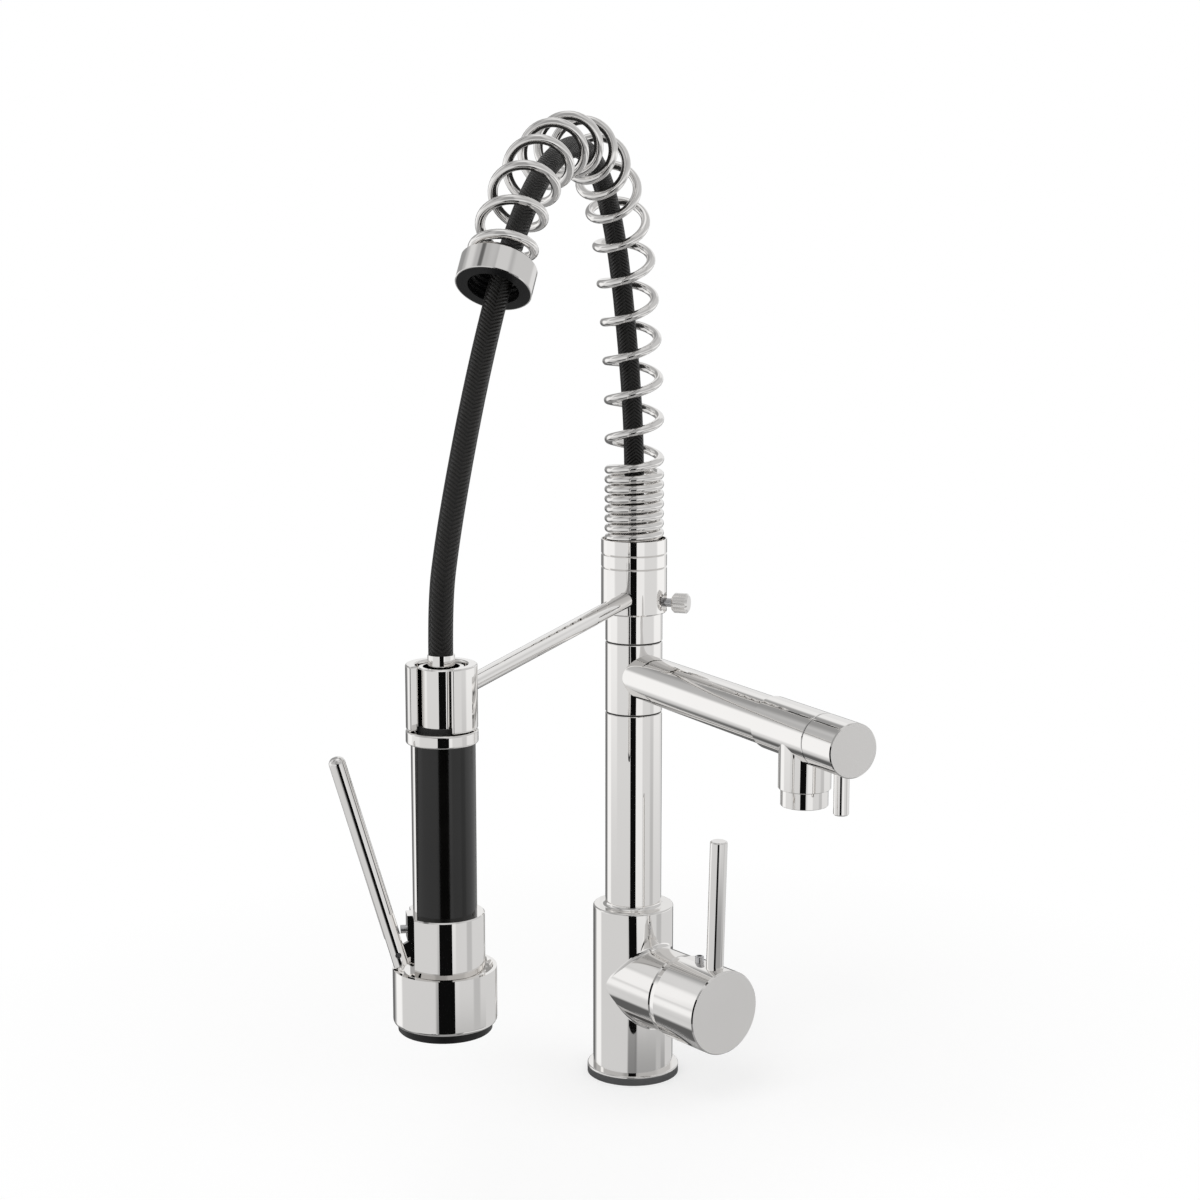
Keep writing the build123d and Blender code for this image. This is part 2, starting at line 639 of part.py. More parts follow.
def column_sleeve():
    sleeve = bevelled(COLUMN_RADIUS, SLEEVE_BOTTOM, SLEEVE_TOP, SEAM_BEVEL, SEAM_BEVEL)
    sleeve += rod(JOURNAL_RADIUS, SLEEVE_TOP, SLEEVE_TOP + JOURNAL_HEIGHT)
    sleeve -= rod(HOSE_PASSAGE_RADIUS, SLEEVE_BOTTOM, SLEEVE_TOP + JOURNAL_HEIGHT)
    return sleeve - rod(SPINDLE_RADIUS + FIT, SLEEVE_BOTTOM, SLEEVE_BOTTOM + SPINDLE_HEAD)


# Spout


def spout_collar():
    collar = bevelled(COLUMN_RADIUS, COLLAR_BOTTOM, COLLAR_TOP, SEAM_BEVEL, SEAM_BEVEL)
    collar -= rod(SPINDLE_RADIUS + RUN, COLLAR_BOTTOM, COLLAR_TOP)
    half = COLLAR_GROOVE_HEIGHT / 2
    collar -= rod(SPINDLE_RADIUS + COLLAR_GROOVE_DEPTH, SPOUT_Z - half, SPOUT_Z + half)
    return collar - SPOUT * rod(SPOUT_BORE_RADIUS, 0, COLUMN_RADIUS)


def spout_tube():
    tube = SPOUT * pipe(SPOUT_RADIUS, SPOUT_BORE_RADIUS, 0, SPOUT_REACH)
    return tube - rod(COLUMN_RADIUS + FIT, COLLAR_BOTTOM, COLLAR_TOP)


def spout_end():
    end = SPOUT * bevelled(SPOUT_END_RADIUS, SPOUT_REACH, SPOUT_END, SEAM_BEVEL, SEAM_BEVEL)
    end += SPOUT * rod(SPOUT_BORE_RADIUS - FIT, SPOUT_REACH - SPOUT_PLUG, SPOUT_REACH)
    end += NOZZLE * bevelled(NOZZLE_RADIUS, NOZZLE_BOTTOM, SPOUT_Z, SEAM_BEVEL, 0)
    end -= SPOUT * rod(SPOUT_WATERWAY_RADIUS, SPOUT_REACH - SPOUT_PLUG, SPOUT_END)
    end -= NOZZLE * rod(NOZZLE_THREAD_RADIUS, NOZZLE_BOTTOM, NOZZLE_BOTTOM + NOZZLE_THREAD_DEPTH)
    return end - NOZZLE * rod(NOZZLE_PORT_RADIUS, NOZZLE_BOTTOM, SPOUT_Z)


def aerator_ring():
    bottom = NOZZLE_BOTTOM - AERATOR_HEIGHT
    ring = bevelled(AERATOR_RADIUS, bottom, NOZZLE_BOTTOM, SEAM_BEVEL, SEAM_BEVEL)
    ring += rod(NOZZLE_THREAD_RADIUS - FIT, NOZZLE_BOTTOM, AERATOR_TOP)
    return NOZZLE * (ring - rod(AERATOR_BORE_RADIUS, bottom, AERATOR_TOP))


def aerator_insert():
    bottom = NOZZLE_BOTTOM - AERATOR_HEIGHT + AERATOR_RECESS
    insert = rod(AERATOR_BORE_RADIUS - FIT, bottom, AERATOR_TOP)
    for radius, count in zip(AERATOR_RING_RADII, AERATOR_HOLE_COUNTS):
        insert -= ring_of(rod(AERATOR_HOLE_RADIUS, bottom, AERATOR_TOP), radius, count)
    return NOZZLE * insert


def aerator_seal():
    outer = NOZZLE_THREAD_RADIUS - FIT
    return NOZZLE * pipe(outer, NOZZLE_PORT_RADIUS, AERATOR_TOP, AERATOR_TOP + AERATOR_SEAL_THICKNESS)


def tap_headwork():
    return SPOUT * pipe(SPOUT_WATERWAY_RADIUS - FIT, TAP_SPINDLE_RADIUS + RUN, HEADWORK_START, SPOUT_END)


def tap_spindle():
    disc_end = HEADWORK_START - RUN
    spindle = rod(TAP_SPINDLE_RADIUS, disc_end, TAP_CAP_START + TAP_SPINDLE_SOCKET - FIT)
    return SPOUT * (spindle + rod(TAP_DISC_RADIUS, disc_end - TAP_DISC_THICKNESS, disc_end))


def tap_cap():
    cap = bevelled(SPOUT_END_RADIUS, TAP_CAP_START, TAP_CAP_END, SEAM_BEVEL, TAP_CAP_BEVEL)
    cap -= rod(TAP_SPINDLE_RADIUS + FIT, TAP_CAP_START, TAP_CAP_START + TAP_SPINDLE_SOCKET)
    return SPOUT * cap - TAP_LEVER * rod(TAP_LEVER_RADIUS + FIT, TAP_LEVER_BOTTOM, TAP_LEVER_TOP)


def tap_lever():
    return TAP_LEVER * bevelled(TAP_LEVER_RADIUS, TAP_LEVER_BOTTOM, TAP_LEVER_TOP, TAP_LEVER_BEVEL, 0)


# Arm collar, thumb screw and spring seat


def arm_collar():
    collar = bevelled(COLLAR_RADIUS, ARM_COLLAR_BOTTOM, ARM_COLLAR_TOP, EDGE_BEVEL, EDGE_BEVEL)
    collar -= rod(JOURNAL_RADIUS + RUN, ARM_COLLAR_BOTTOM, ARM_COLLAR_TOP)
    collar -= ARM * rod(ARM_ROOT_RADIUS + FIT, ARM_SOCKET_RADIUS, COLLAR_RADIUS)
    collar -= THUMB * rod(THUMB_KNOB_RADIUS, COLLAR_RADIUS - THUMB_RECESS_DEPTH, COLLAR_RADIUS)
    return collar - THUMB * rod(THUMB_STUD_RADIUS + RUN, 0, COLLAR_RADIUS)


def thumbscrew_stud():
    tip = JOURNAL_RADIUS + 2 * RUN
    return THUMB * rod(THUMB_STUD_RADIUS, tip, THUMB_KNOB_START + THUMB_KNOB_SOCKET - RUN)


def thumbscrew_knob():
    end = THUMB_KNOB_START + THUMB_KNOB_LENGTH
    knob = bevelled(THUMB_KNOB_RADIUS, THUMB_KNOB_START, end, THUMB_KNOB_BEVEL, THUMB_KNOB_BEVEL)
    knob -= ring_of(rod(KNURL_RADIUS, THUMB_KNOB_START, end), THUMB_KNOB_RADIUS, KNURL_COUNT)
    socket = rod(THUMB_STUD_RADIUS + RUN, THUMB_KNOB_START, THUMB_KNOB_START + THUMB_KNOB_SOCKET)
    return THUMB * (knob - socket)


def retaining_ring():
    ring = bevelled(COLLAR_RADIUS, ARM_COLLAR_TOP, RING_TOP, EDGE_BEVEL, EDGE_BEVEL)
    return ring - rod(HOSE_PASSAGE_RADIUS, ARM_COLLAR_TOP, RING_TOP)


def spring_seat():
    seat = bevelled(COLLAR_RADIUS, RING_TOP, SEAT_TOP, EDGE_BEVEL, 0)
    seat -= rod(COLLAR_RADIUS - SEAT_RIM_WALL, SEAT_FLOOR, SEAT_TOP)
    return seat - rod(LOWER_FERRULE_RADIUS + FIT, RING_TOP, SEAT_FLOOR)


def hose_lower_ferrule():
    ferrule = rod(LOWER_FERRULE_RADIUS, RING_TOP, HOSE_START)
    return ferrule + rod(LOWER_FERRULE_FOOT_RADIUS, RING_TOP - LOWER_FERRULE_FOOT, RING_TOP)


# Support arm and dock clip


def support_arm():
    root = ARM_SOCKET_RADIUS + FIT
    length = ARM_REACH - CLIP_RADIUS + CLIP_SOCKET - FIT - root
    align = (Align.CENTER, Align.CENTER, Align.MIN)
    return ARM * Pos(0, 0, root) * Cone(ARM_ROOT_RADIUS, ARM_TIP_RADIUS, length, align=align)


def dock_clip():
    top = CLIP_BOTTOM + CLIP_HEIGHT
    clip = rod(CLIP_RADIUS, CLIP_BOTTOM, top) - rod(CLIP_BORE_RADIUS, CLIP_BOTTOM, top)
    clip -= sector(CLIP_RADIUS, CLIP_OPENING, CLIP_BOTTOM, top)
    clip = fillet(clip.edges(), CLIP_ROUND)
    clip = Pos(HEAD_X, HEAD_Y, 0) * ARM_TURN * clip
    return clip - ARM * rod(ARM_TIP_RADIUS + FIT, 0, ARM_REACH - CLIP_RADIUS + CLIP_SOCKET)


# Spray head, turned about its own axis with the trigger on +X


def head_neck():
    spigot_foot = FLANGE_TOP - NECK_SPIGOT_LENGTH
    seal_top = FLANGE_TOP + DOCK_SEAL_HEIGHT
    neck = bevelled(NECK_RADIUS, seal_top, NECK_TOP, 0, EDGE_BEVEL)
    neck += rod(DOCK_SEAL_BORE_RADIUS - FIT, FLANGE_TOP, seal_top)
    neck += rod(NECK_SPIGOT_RADIUS, spigot_foot, FLANGE_TOP)
    neck -= rod(NECK_HOLE_RADIUS, NECK_HOLE_FLOOR, NECK_TOP)
    return HEAD * (neck - rod(FERRULE_PIN_RADIUS + RUN, spigot_foot, NECK_HOLE_FLOOR))


def hose_ferrule():
    shoulder = NECK_HOLE_FLOOR + GAP
    ferrule = rod(FERRULE_RADIUS, shoulder, FERRULE_TOP)
    ferrule += rod(FERRULE_PIN_RADIUS, NECK_HOLE_FLOOR - FERRULE_PIN_LENGTH, shoulder)
    return HEAD * (ferrule - rod(FERRULE_BORE_RADIUS, NECK_HOLE_FLOOR - FERRULE_PIN_LENGTH, shoulder))


def dock_seal():
    return HEAD * pipe(DOCK_SEAL_RADIUS, DOCK_SEAL_BORE_RADIUS, FLANGE_TOP, FLANGE_TOP + DOCK_SEAL_HEIGHT)


def head_flange():
    flange = rod(FLANGE_RADIUS, FLANGE_BOTTOM, FLANGE_TOP)
    flange = fillet(flange.edges().filter_by(GeomType.CIRCLE), FLANGE_ROUND)
    return HEAD * (flange - rod(NECK_SPIGOT_RADIUS + FIT, FLANGE_BOTTOM, FLANGE_TOP))


def head_core():
    core = rod(GRIP_RADIUS - GRIP_WALL, GRIP_BOTTOM, FLANGE_BOTTOM)
    core -= rod(NECK_SPIGOT_RADIUS + FIT, FLANGE_TOP - NECK_SPIGOT_LENGTH, FLANGE_BOTTOM)
    return HEAD * (core - rod(WATERWAY_RADIUS, GRIP_BOTTOM, FLANGE_BOTTOM))


def grip_sleeve():
    sleeve = pipe(GRIP_RADIUS, GRIP_RADIUS - GRIP_WALL + FIT, GRIP_BOTTOM, FLANGE_BOTTOM)
    return HEAD * (sleeve - sector(GRIP_RADIUS, GRIP_SLOT_ANGLE, GRIP_BOTTOM, FLANGE_BOTTOM))


def valve_block():
    block = bevelled(BLOCK_RADIUS, BLOCK_BOTTOM, GRIP_BOTTOM, EDGE_BEVEL, EDGE_BEVEL)
    align = (Align.MIN, Align.CENTER, Align.MIN)
    block -= Pos(BLOCK_FLAT, 0, BLOCK_BOTTOM) * Box(BLOCK_RADIUS, 2 * BLOCK_RADIUS, BLOCK_HEIGHT, align=align)
    block -= rod(WATERWAY_RADIUS, BLOCK_BOTTOM, GRIP_BOTTOM)
    plate_foot = TRIGGER_PIVOT_Z + BRACKET_HEIGHT / 2 + GAP
    plate = Box(VALVE_PLATE_THICKNESS, VALVE_PLATE_WIDTH, GRIP_BOTTOM - plate_foot, align=align)
    block += Pos(BLOCK_FLAT, 0, plate_foot) * plate
    return HEAD * block - PLUNGER * rod(PLUNGER_RADIUS + RUN, 0, BLOCK_FLAT + VALVE_PLATE_THICKNESS)


def spray_plunger():
    lever_face = TRIGGER_PIVOT_OFFSET + (PLUNGER_RISE - TRIGGER_PIVOT_RISE) * tan(radians(TRIGGER_LEAN))
    lever_face -= TRIGGER_RADIUS / cos(radians(TRIGGER_LEAN)) + PLUNGER_RADIUS * tan(radians(TRIGGER_LEAN))
    return PLUNGER * rod(PLUNGER_RADIUS, PLUNGER_INNER, lever_face - GAP)


def lever_bracket():
    half = BRACKET_HEIGHT / 2
    cheek = Polyline(
        (BLOCK_FLAT, 0, -half),
        (TRIGGER_PIVOT_OFFSET, 0, -BRACKET_ROUND_RADIUS),
        (TRIGGER_PIVOT_OFFSET, 0, BRACKET_ROUND_RADIUS),
        (BLOCK_FLAT, 0, half),
        close=True,
    )
    plate = extrude(make_face(cheek), BRACKET_THICKNESS / 2, dir=(0, 1, 0), both=True)
    eye = Pos(TRIGGER_PIVOT_OFFSET, 0, 0) * Rot(90, 0, 0)
    plate += eye * Cylinder(BRACKET_ROUND_RADIUS, BRACKET_THICKNESS)
    plate -= eye * Cylinder(TRIGGER_PIN_RADIUS + FIT, BRACKET_THICKNESS)
    return HEAD * Pos(0, 0, TRIGGER_PIVOT_Z) * plate


def lever_pivot_pin():
    return TRIGGER * cross_pin(TRIGGER_PIN_RADIUS, TRIGGER_PIN_LENGTH, 0)


def spray_lever():
    lever = rod(TRIGGER_RADIUS, -TRIGGER_TAIL, TRIGGER_LENGTH)
    lever = fillet(lever.edges().group_by(Axis.Z)[-1], TRIGGER_ROUND)
    align = (Align.CENTER, Align.CENTER, Align.MIN)
    slot = Box(2 * TRIGGER_RADIUS, BRACKET_THICKNESS + 2 * GAP, TRIGGER_TAIL + TRIGGER_SLOT, align=align)
    lever -= Pos(0, 0, -TRIGGER_TAIL) * slot
    return TRIGGER * (lever - cross_pin(TRIGGER_PIN_RADIUS + RUN, 2 * TRIGGER_RADIUS, 0))


def spray_cup():
    chamber_top = CUP_BOTTOM + CHAMBER_DEPTH
    lip = CUP_RADIUS - CUP_WALL
    cup = rod(CUP_RADIUS, CUP_BOTTOM, CUP_TOP)
    cup = fillet(cup.edges().group_by(Axis.Z)[0], CUP_ROUND)
    cup -= turned(
        (0, CUP_TOP),
        (0, BLOCK_BOTTOM),
        (BLOCK_RADIUS, BLOCK_BOTTOM),
        (DISH_RADIUS, BLOCK_BOTTOM - DISH_DEPTH),
        (lip, CUP_TOP),
    )
    cup -= rod(CHAMBER_RADIUS, CUP_BOTTOM, chamber_top)
    return HEAD * (cup - rod(WATERWAY_RADIUS, chamber_top, BLOCK_BOTTOM))


def spray_rim():
    spigot_top = CUP_BOTTOM + RIM_SPIGOT
    rim = bevelled(RIM_RADIUS, RIM_BOTTOM, CUP_BOTTOM, EDGE_BEVEL, 0)
    rim += rod(CHAMBER_RADIUS - FIT, CUP_BOTTOM, spigot_top)
    rim -= rod(RIM_BORE_RADIUS, RIM_BOTTOM, FACE_TOP)
    return HEAD * (rim - rod(RIM_BORE_RADIUS - RIM_LEDGE, FACE_TOP, spigot_top))


def spray_face():
    face = rod(RIM_BORE_RADIUS - FIT, RIM_BOTTOM + FACE_RECESS, FACE_TOP)
    for radius, count in zip(NUB_RING_RADII, NUB_COUNTS):
        face += ring_of(rod(NUB_RADIUS, RIM_BOTTOM, RIM_BOTTOM + FACE_RECESS), radius, count)
    return HEAD * face


# Spring, its end cap and the hose, in the upright plane of the arch


def arch_frame(length):
    """Centre, heading, inward normal and curvature of the arch at a length from the seat floor."""
    run = min(length, SPRING_STRAIGHT)
    left = length - run
    reach, height, heading, curvature = 0.0, SEAT_FLOOR + run, 0.0, 0.0
    for radius, angle in ARCH_BENDS:
        if left <= 0:
            break
        turn = min(radians(angle), left / radius)
        reach += radius * (cos(heading) - cos(heading + turn))
        height += radius * (sin(heading + turn) - sin(heading))
        heading += turn
        left -= radius * turn
        curvature = 1 / radius
    if length > ARCH_LENGTH - SPRING_TAIL:
        reach += left * sin(heading)
        height += left * cos(heading)
        curvature = 0.0
    along = ARCH_OUT * sin(heading) + ARCH_UP * cos(heading)
    inward = ARCH_OUT * cos(heading) - ARCH_UP * sin(heading)
    return ARCH_OUT * reach + ARCH_UP * height, along, inward, curvature


def climb(turn):
    """Length along the arch, and pitch, after a number of turns of the spring."""
    length = SPRING_FOOT
    pitch = CLOSE_PITCH
    for turns, first, last in SPRING_STAGES:
        share = min(turn, turns)
        pitch = first + (last - first) * share / turns
        length += share * (first + pitch) / 2
        turn -= share
        if turn <= 0:
            break
    return length, pitch


def wire_point(turn):
    """Point and direction of the spring's wire after a number of turns."""
    length, pitch = climb(turn)
    centre, along, inward, curvature = arch_frame(length)
    angle = radians(SPRING_START_ANGLE) + 2 * pi * turn
    outward = inward * cos(angle) + ARCH_SIDE * sin(angle)
    around = ARCH_SIDE * cos(angle) - inward * sin(angle)
    advance = pitch / (2 * pi) * (1 - curvature * COIL_RADIUS * cos(angle))
    return centre + outward * COIL_RADIUS, (along * advance + around * COIL_RADIUS).normalized()


def biarc(start, start_way, end, end_way):
    """Two tangent arcs between two points with given directions."""
    step = end - start
    square = 2 * (1 - start_way.dot(end_way))
    linear = 2 * step.dot(start_way + end_way)
    reach = (sqrt(linear**2 + 4 * square * step.dot(step)) - linear) / (2 * square)
    before = start + start_way * reach
    after = end - end_way * reach
    middle = (before + after) * 0.5
    first = Edge.make_tangent_arc(start, start_way, middle)
    return [first, Edge.make_tangent_arc(middle, (after - before).normalized(), end)]


def least_spring_gap():
    """Least clear distance between turns, measured on points of the wire."""
    count = ceil(SPRING_TURNS * GAP_POINTS_PER_TURN)
    points = [wire_point(SPRING_TURNS * step / count)[0] for step in range(count + 1)]
    apart = GAP_POINTS_PER_TURN // 2
    pairs = ((a, b) for i, a in enumerate(points) for b in points[i + apart:])
    return min((a - b).length for a, b in pairs) - 2 * WIRE_RADIUS


def spring():
    count = ceil(SPRING_TURNS * STEPS_PER_TURN)
    stops = [wire_point(SPRING_TURNS * step / count) for step in range(count + 1)]
    (foot, foot_way), (head, head_way) = stops[0], stops[-1]
    end_run = 2 * WIRE_RADIUS
    edges = [Edge.make_line(foot - foot_way * end_run, foot)]
    for (start, start_way), (end, end_way) in zip(stops, stops[1:]):
        edges += biarc(start, start_way, end, end_way)
    edges.append(Edge.make_line(head, head + head_way * end_run))
    section = Plane(origin=edges[0] @ 0, z_dir=foot_way) * Circle(WIRE_RADIUS)
    return sweep(section, path=Wire(edges))


END_CAP_CENTRE, END_CAP_WAY, _, _ = arch_frame(ARCH_LENGTH)
END_CAP = Plane(origin=END_CAP_CENTRE, x_dir=ARCH_SIDE, z_dir=END_CAP_WAY)


def spring_end_cap():
    cap = bevelled(END_CAP_RADIUS, 0, END_CAP_HEIGHT, END_CAP_BEVEL, END_CAP_EDGE)
    cap -= rod(END_CAP_HOLE_RADIUS, 0, END_CAP_TOP)
    return END_CAP * (cap - rod(BUSH_RADIUS + FIT, END_CAP_TOP, END_CAP_HEIGHT))


def end_cap_bush():
    bush = pipe(BUSH_RADIUS, BUSH_BORE_RADIUS, END_CAP_TOP, END_CAP_HEIGHT)
    pitch = (END_CAP_HEIGHT - END_CAP_TOP) / BUSH_GROOVES
    for turn in range(BUSH_GROOVES):
        middle = END_CAP_TOP + pitch * (turn + 0.5)
        bush -= rod(BUSH_BORE_RADIUS + BUSH_GROOVE_DEPTH, middle - pitch / 4, middle + pitch / 4)
    return END_CAP * bush


def hose_edges():
    """Straight runs of the hose joined by tangent arcs, from the seat to the spray head."""
    points = [ARCH_OUT * out + ARCH_SIDE * side + ARCH_UP * (SEAT_FLOOR + up) for out, side, up in HOSE_ROUTE]
    radii = []
    for before, corner, after in zip(points, points[1:], points[2:]):
        arrive = corner - before
        leave = after - corner
        half_turn = radians(arrive.get_angle(leave)) / 2
        radii.append(HOSE_BEND * min(arrive.length, leave.length) / tan(half_turn))
    print("hose bend radii", [round(radius) for radius in radii])
    return FilletPolyline(*points, radius=radii).order_edges()


def hose(edges):
    route = Wire(edges)
    section = Plane(origin=route @ 0, z_dir=route % 0) * Circle(HOSE_RADIUS)
    tube = sweep(section, path=route)
    print("hose volume", round(tube.volume), "section by length", round(pi * HOSE_RADIUS**2 * route.length))
    return tube


HOSE_EDGES = hose_edges()
HOSE_SPLIT = 2 * HOSE_SPLIT_POINT

PARTS = {
    "base_gasket": base_gasket(),
    "base_ring": base_ring(),
    "valve_body": valve_body(),
    "inlet_block": inlet_block(),
    "cartridge_seal": cartridge_seal(),
    "cartridge_shell": cartridge_shell(),
    "fixed_disc": fixed_disc(),
    "moving_disc": moving_disc(),
    "stem_carrier": stem_carrier(),
    "stem_pivot_pin": stem_pivot_pin(),
    "cartridge_stem": cartridge_stem(),
    "cartridge_nut": cartridge_nut(),
    "handle_cap": handle_cap(),
    "handle_lever": handle_lever(),
    "handle_set_screw": handle_set_screw(),
    "riser_tube": riser_tube(),
    "swivel_spindle": swivel_spindle(),
    "lower_spout_seal": spout_seal(SEAL_LEVELS[0]),
    "upper_spout_seal": spout_seal(SEAL_LEVELS[1]),
    "lower_slide_ring": slide_ring(RISER_TOP),
    "upper_slide_ring": slide_ring(COLLAR_TOP + RUN),
    "column_sleeve": column_sleeve(),
    "spout_collar": spout_collar(),
    "spout_tube": spout_tube(),
    "spout_end": spout_end(),
    "aerator_ring": aerator_ring(),
    "aerator_insert": aerator_insert(),
    "aerator_seal": aerator_seal(),
    "tap_headwork": tap_headwork(),
    "tap_spindle": tap_spindle(),
    "tap_cap": tap_cap(),
    "tap_lever": tap_lever(),
    "arm_collar": arm_collar(),
    "thumbscrew_stud": thumbscrew_stud(),
    "thumbscrew_knob": thumbscrew_knob(),
    "retaining_ring": retaining_ring(),
    "spring_seat": spring_seat(),
    "hose_lower_ferrule": hose_lower_ferrule(),
    "spring": spring(),
    "spring_end_cap": spring_end_cap(),
    "end_cap_bush": end_cap_bush(),
    "hose_arch": hose(HOSE_EDGES[:HOSE_SPLIT]),
    "hose_drop": hose(HOSE_EDGES[HOSE_SPLIT:]),
    "support_arm": support_arm(),
    "dock_clip": dock_clip(),
    "hose_ferrule": hose_ferrule(),
    "head_neck": head_neck(),
    "dock_seal": dock_seal(),
    "head_flange": head_flange(),
    "head_core": head_core(),
    "grip_sleeve": grip_sleeve(),
    "valve_block": valve_block(),
    "spray_plunger": spray_plunger(),
    "lever_bracket": lever_bracket(),
    "lever_pivot_pin": lever_pivot_pin(),
    "spray_lever": spray_lever(),
    "spray_cup": spray_cup(),
    "spray_rim": spray_rim(),
    "spray_face": spray_face(),
}

for name, shape in PARTS.items():
    export_step(shape, f"parts/{name}.step")

spring_gap = least_spring_gap()
print("spring turns", SPRING_TURNS, "least gap", round(spring_gap, 2))
assert spring_gap > LEAST_SPRING_GAP
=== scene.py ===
import json
from math import cos, pi, radians, sin

import bpy
import numpy as np
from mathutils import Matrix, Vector


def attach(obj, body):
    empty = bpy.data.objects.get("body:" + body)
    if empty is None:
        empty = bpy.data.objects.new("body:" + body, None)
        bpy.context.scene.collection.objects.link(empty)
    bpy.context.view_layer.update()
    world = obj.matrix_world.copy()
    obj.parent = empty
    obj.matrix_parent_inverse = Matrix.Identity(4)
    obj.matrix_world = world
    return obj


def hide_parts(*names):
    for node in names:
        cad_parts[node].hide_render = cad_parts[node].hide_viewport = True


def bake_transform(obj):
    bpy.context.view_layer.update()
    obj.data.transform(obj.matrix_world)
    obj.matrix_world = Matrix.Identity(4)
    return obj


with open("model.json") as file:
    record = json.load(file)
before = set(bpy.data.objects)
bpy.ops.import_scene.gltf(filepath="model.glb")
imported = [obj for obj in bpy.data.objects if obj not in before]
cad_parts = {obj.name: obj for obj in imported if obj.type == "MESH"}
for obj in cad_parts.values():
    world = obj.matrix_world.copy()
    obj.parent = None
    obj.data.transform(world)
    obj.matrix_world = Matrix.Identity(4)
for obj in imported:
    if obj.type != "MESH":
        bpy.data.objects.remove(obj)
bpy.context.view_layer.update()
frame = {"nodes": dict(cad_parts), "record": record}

# Camera, at the viewing angle of the photograph
CAMERA_PLACE = (0.9400, -0.7732, 0.4690)
CAMERA_TURN = (radians(80.215), 0.0, radians(51.4))
CAMERA_LENS = 70.5
CAMERA_SENSOR = 36.0

# Level directions from the object to the camera, and to the right as the camera sees it
TO_CAMERA = (sin(CAMERA_TURN[2]), -cos(CAMERA_TURN[2]), 0.0)
TO_RIGHT = (cos(CAMERA_TURN[2]), sin(CAMERA_TURN[2]), 0.0)

# Spring, in metres, in the upright plane of the arch
SEAT_FLOOR = 0.289
SPRING_PLANE = radians(-58.15)
WIRE_RADIUS = 0.00225
COIL_RADIUS = 0.0133
SPRING_STRAIGHT = 0.051
ARCH_BENDS = ((0.3007, radians(19.3)), (0.0795, radians(75.9)), (0.1125, radians(49.0)))
SPRING_TAIL = 0.0071
SPRING_START_ANGLE = radians(-123.4)
SPRING_END_LIFT = 0.0004
CLOSE_PITCH = 0.0051
CLOSE_TURNS = 7.15
RAMP_TURNS = 0.6
OPEN_TURNS = 14.4
END_TURNS = 1.0
RINGS_PER_TURN = 44
WIRE_SIDES = 20

# Hose: its route as reach, side and height above the seat floor
HOSE_RADIUS = 0.0052
HOSE_SIDES = 32
HOSE_STEP = 0.0015
HOSE_ROUTE = (
    (0.0, 0.0, 0.021),
    (0.0, 0.0, 0.047),
    (0.002, -0.0008, 0.077),
    (0.0068, -0.0018, 0.108),
    (0.0145, -0.0024, 0.139),
    (0.027, -0.0026, 0.168),
    (0.049, -0.0015, 0.1915),
    (0.080, 0.0, 0.2038),
    (0.113, 0.0015, 0.200),
    (0.143, 0.0024, 0.1878),
    (0.1675, 0.0026, 0.1685),
    (0.187, 0.0012, 0.143),
    (0.2065, 0.0014, 0.116),
    (0.2265, 0.0029, 0.0895),
    (0.2455, 0.0045, 0.0615),
    (0.2607, 0.0059, 0.0365),
    (0.27012, 0.00665, 0.0145),
    (0.27012, 0.00665, -0.0085),
)
ROUTE_STEPS = 24

# Braid of the hose: zigzag columns round it, strands along it, and strands climbed in one column
BRAID_COLUMNS = 6
BRAID_PITCH = 0.00195
BRAID_RISE = 2.3
# Braid colours and stops, from low to high relief: the dark low end is painted shade in the gaps between
# strands
BRAID_COLOURS_WITH_GAP_SHADE = ((0.0009, 0.0008, 0.0007), (0.0115, 0.0105, 0.0095))
BRAID_GAP_SHADE_STOPS = (0.2, 1.0)
BRAID_ROUGHNESS = (0.24, 0.42)
BRAID_SPECULAR = 0.42
BRAID_DEPTH = 0.0006
BRAID_BUMP = 1.0
BRAID_EDGE_HEIGHT = 0.5
FIBRE_SCALE = 2600.0
FIBRE_HEIGHT = 0.35

# Unevenness of the finishes: noise scales for colour and gloss, strength of the surface grain
NOISE_ROUGHNESS = 0.55
NOISE_STOPS = (0.3, 0.7)
METAL_TINT_SCALE = 14.0
METAL_GLOSS_SCALE = 55.0
METAL_BUMP = 0.12
MOULDED_TINT_SCALE = 60.0
MOULDED_GLOSS_SCALE = 90.0
MOULDED_BUMP = 0.25

# Caps of the handle and of the spout's tap, polished but for their satin end faces
SATIN_NODES = ("handle_cap", "tap_cap")
SATIN_ROUGHNESS = 0.38
SATIN_SCALE = 900.0
SATIN_CHANGE = 0.06
SATIN_FACING = 0.9

WHITE = (1.0, 1.0, 1.0, 1.0)
UP = np.array((0.0, 0.0, 1.0))
OUT = np.array((cos(SPRING_PLANE), sin(SPRING_PLANE), 0.0))
SIDE = np.cross(UP, OUT)


# Node helpers


def new_material(name):
    """A material with only a Principled shader, and that shader."""
    material = bpy.data.materials.new(name)
    material.use_nodes = True
    return material, material.node_tree.nodes["Principled BSDF"]


def calc(tree, operation, *values):
    """The output of a Math node on sockets or numbers."""
    node = tree.nodes.new("ShaderNodeMath")
    node.operation = operation
    for slot, value in zip(node.inputs, values):
        if isinstance(value, bpy.types.NodeSocket):
            tree.links.new(value, slot)
        else:
            slot.default_value = value
    return node.outputs[0]


def split(tree, source):
    """The three outputs of a vector socket."""
    node = tree.nodes.new("ShaderNodeSeparateXYZ")
    tree.links.new(source, node.inputs[0])
    return node.outputs


def measure(tree, operation, source, direction=None):
    """The length of a vector socket, or its dot product with a direction."""
    node = tree.nodes.new("ShaderNodeVectorMath")
    node.operation = operation
    tree.links.new(source, node.inputs[0])
    if direction:
        node.inputs[1].default_value = direction
    return node.outputs["Value"]


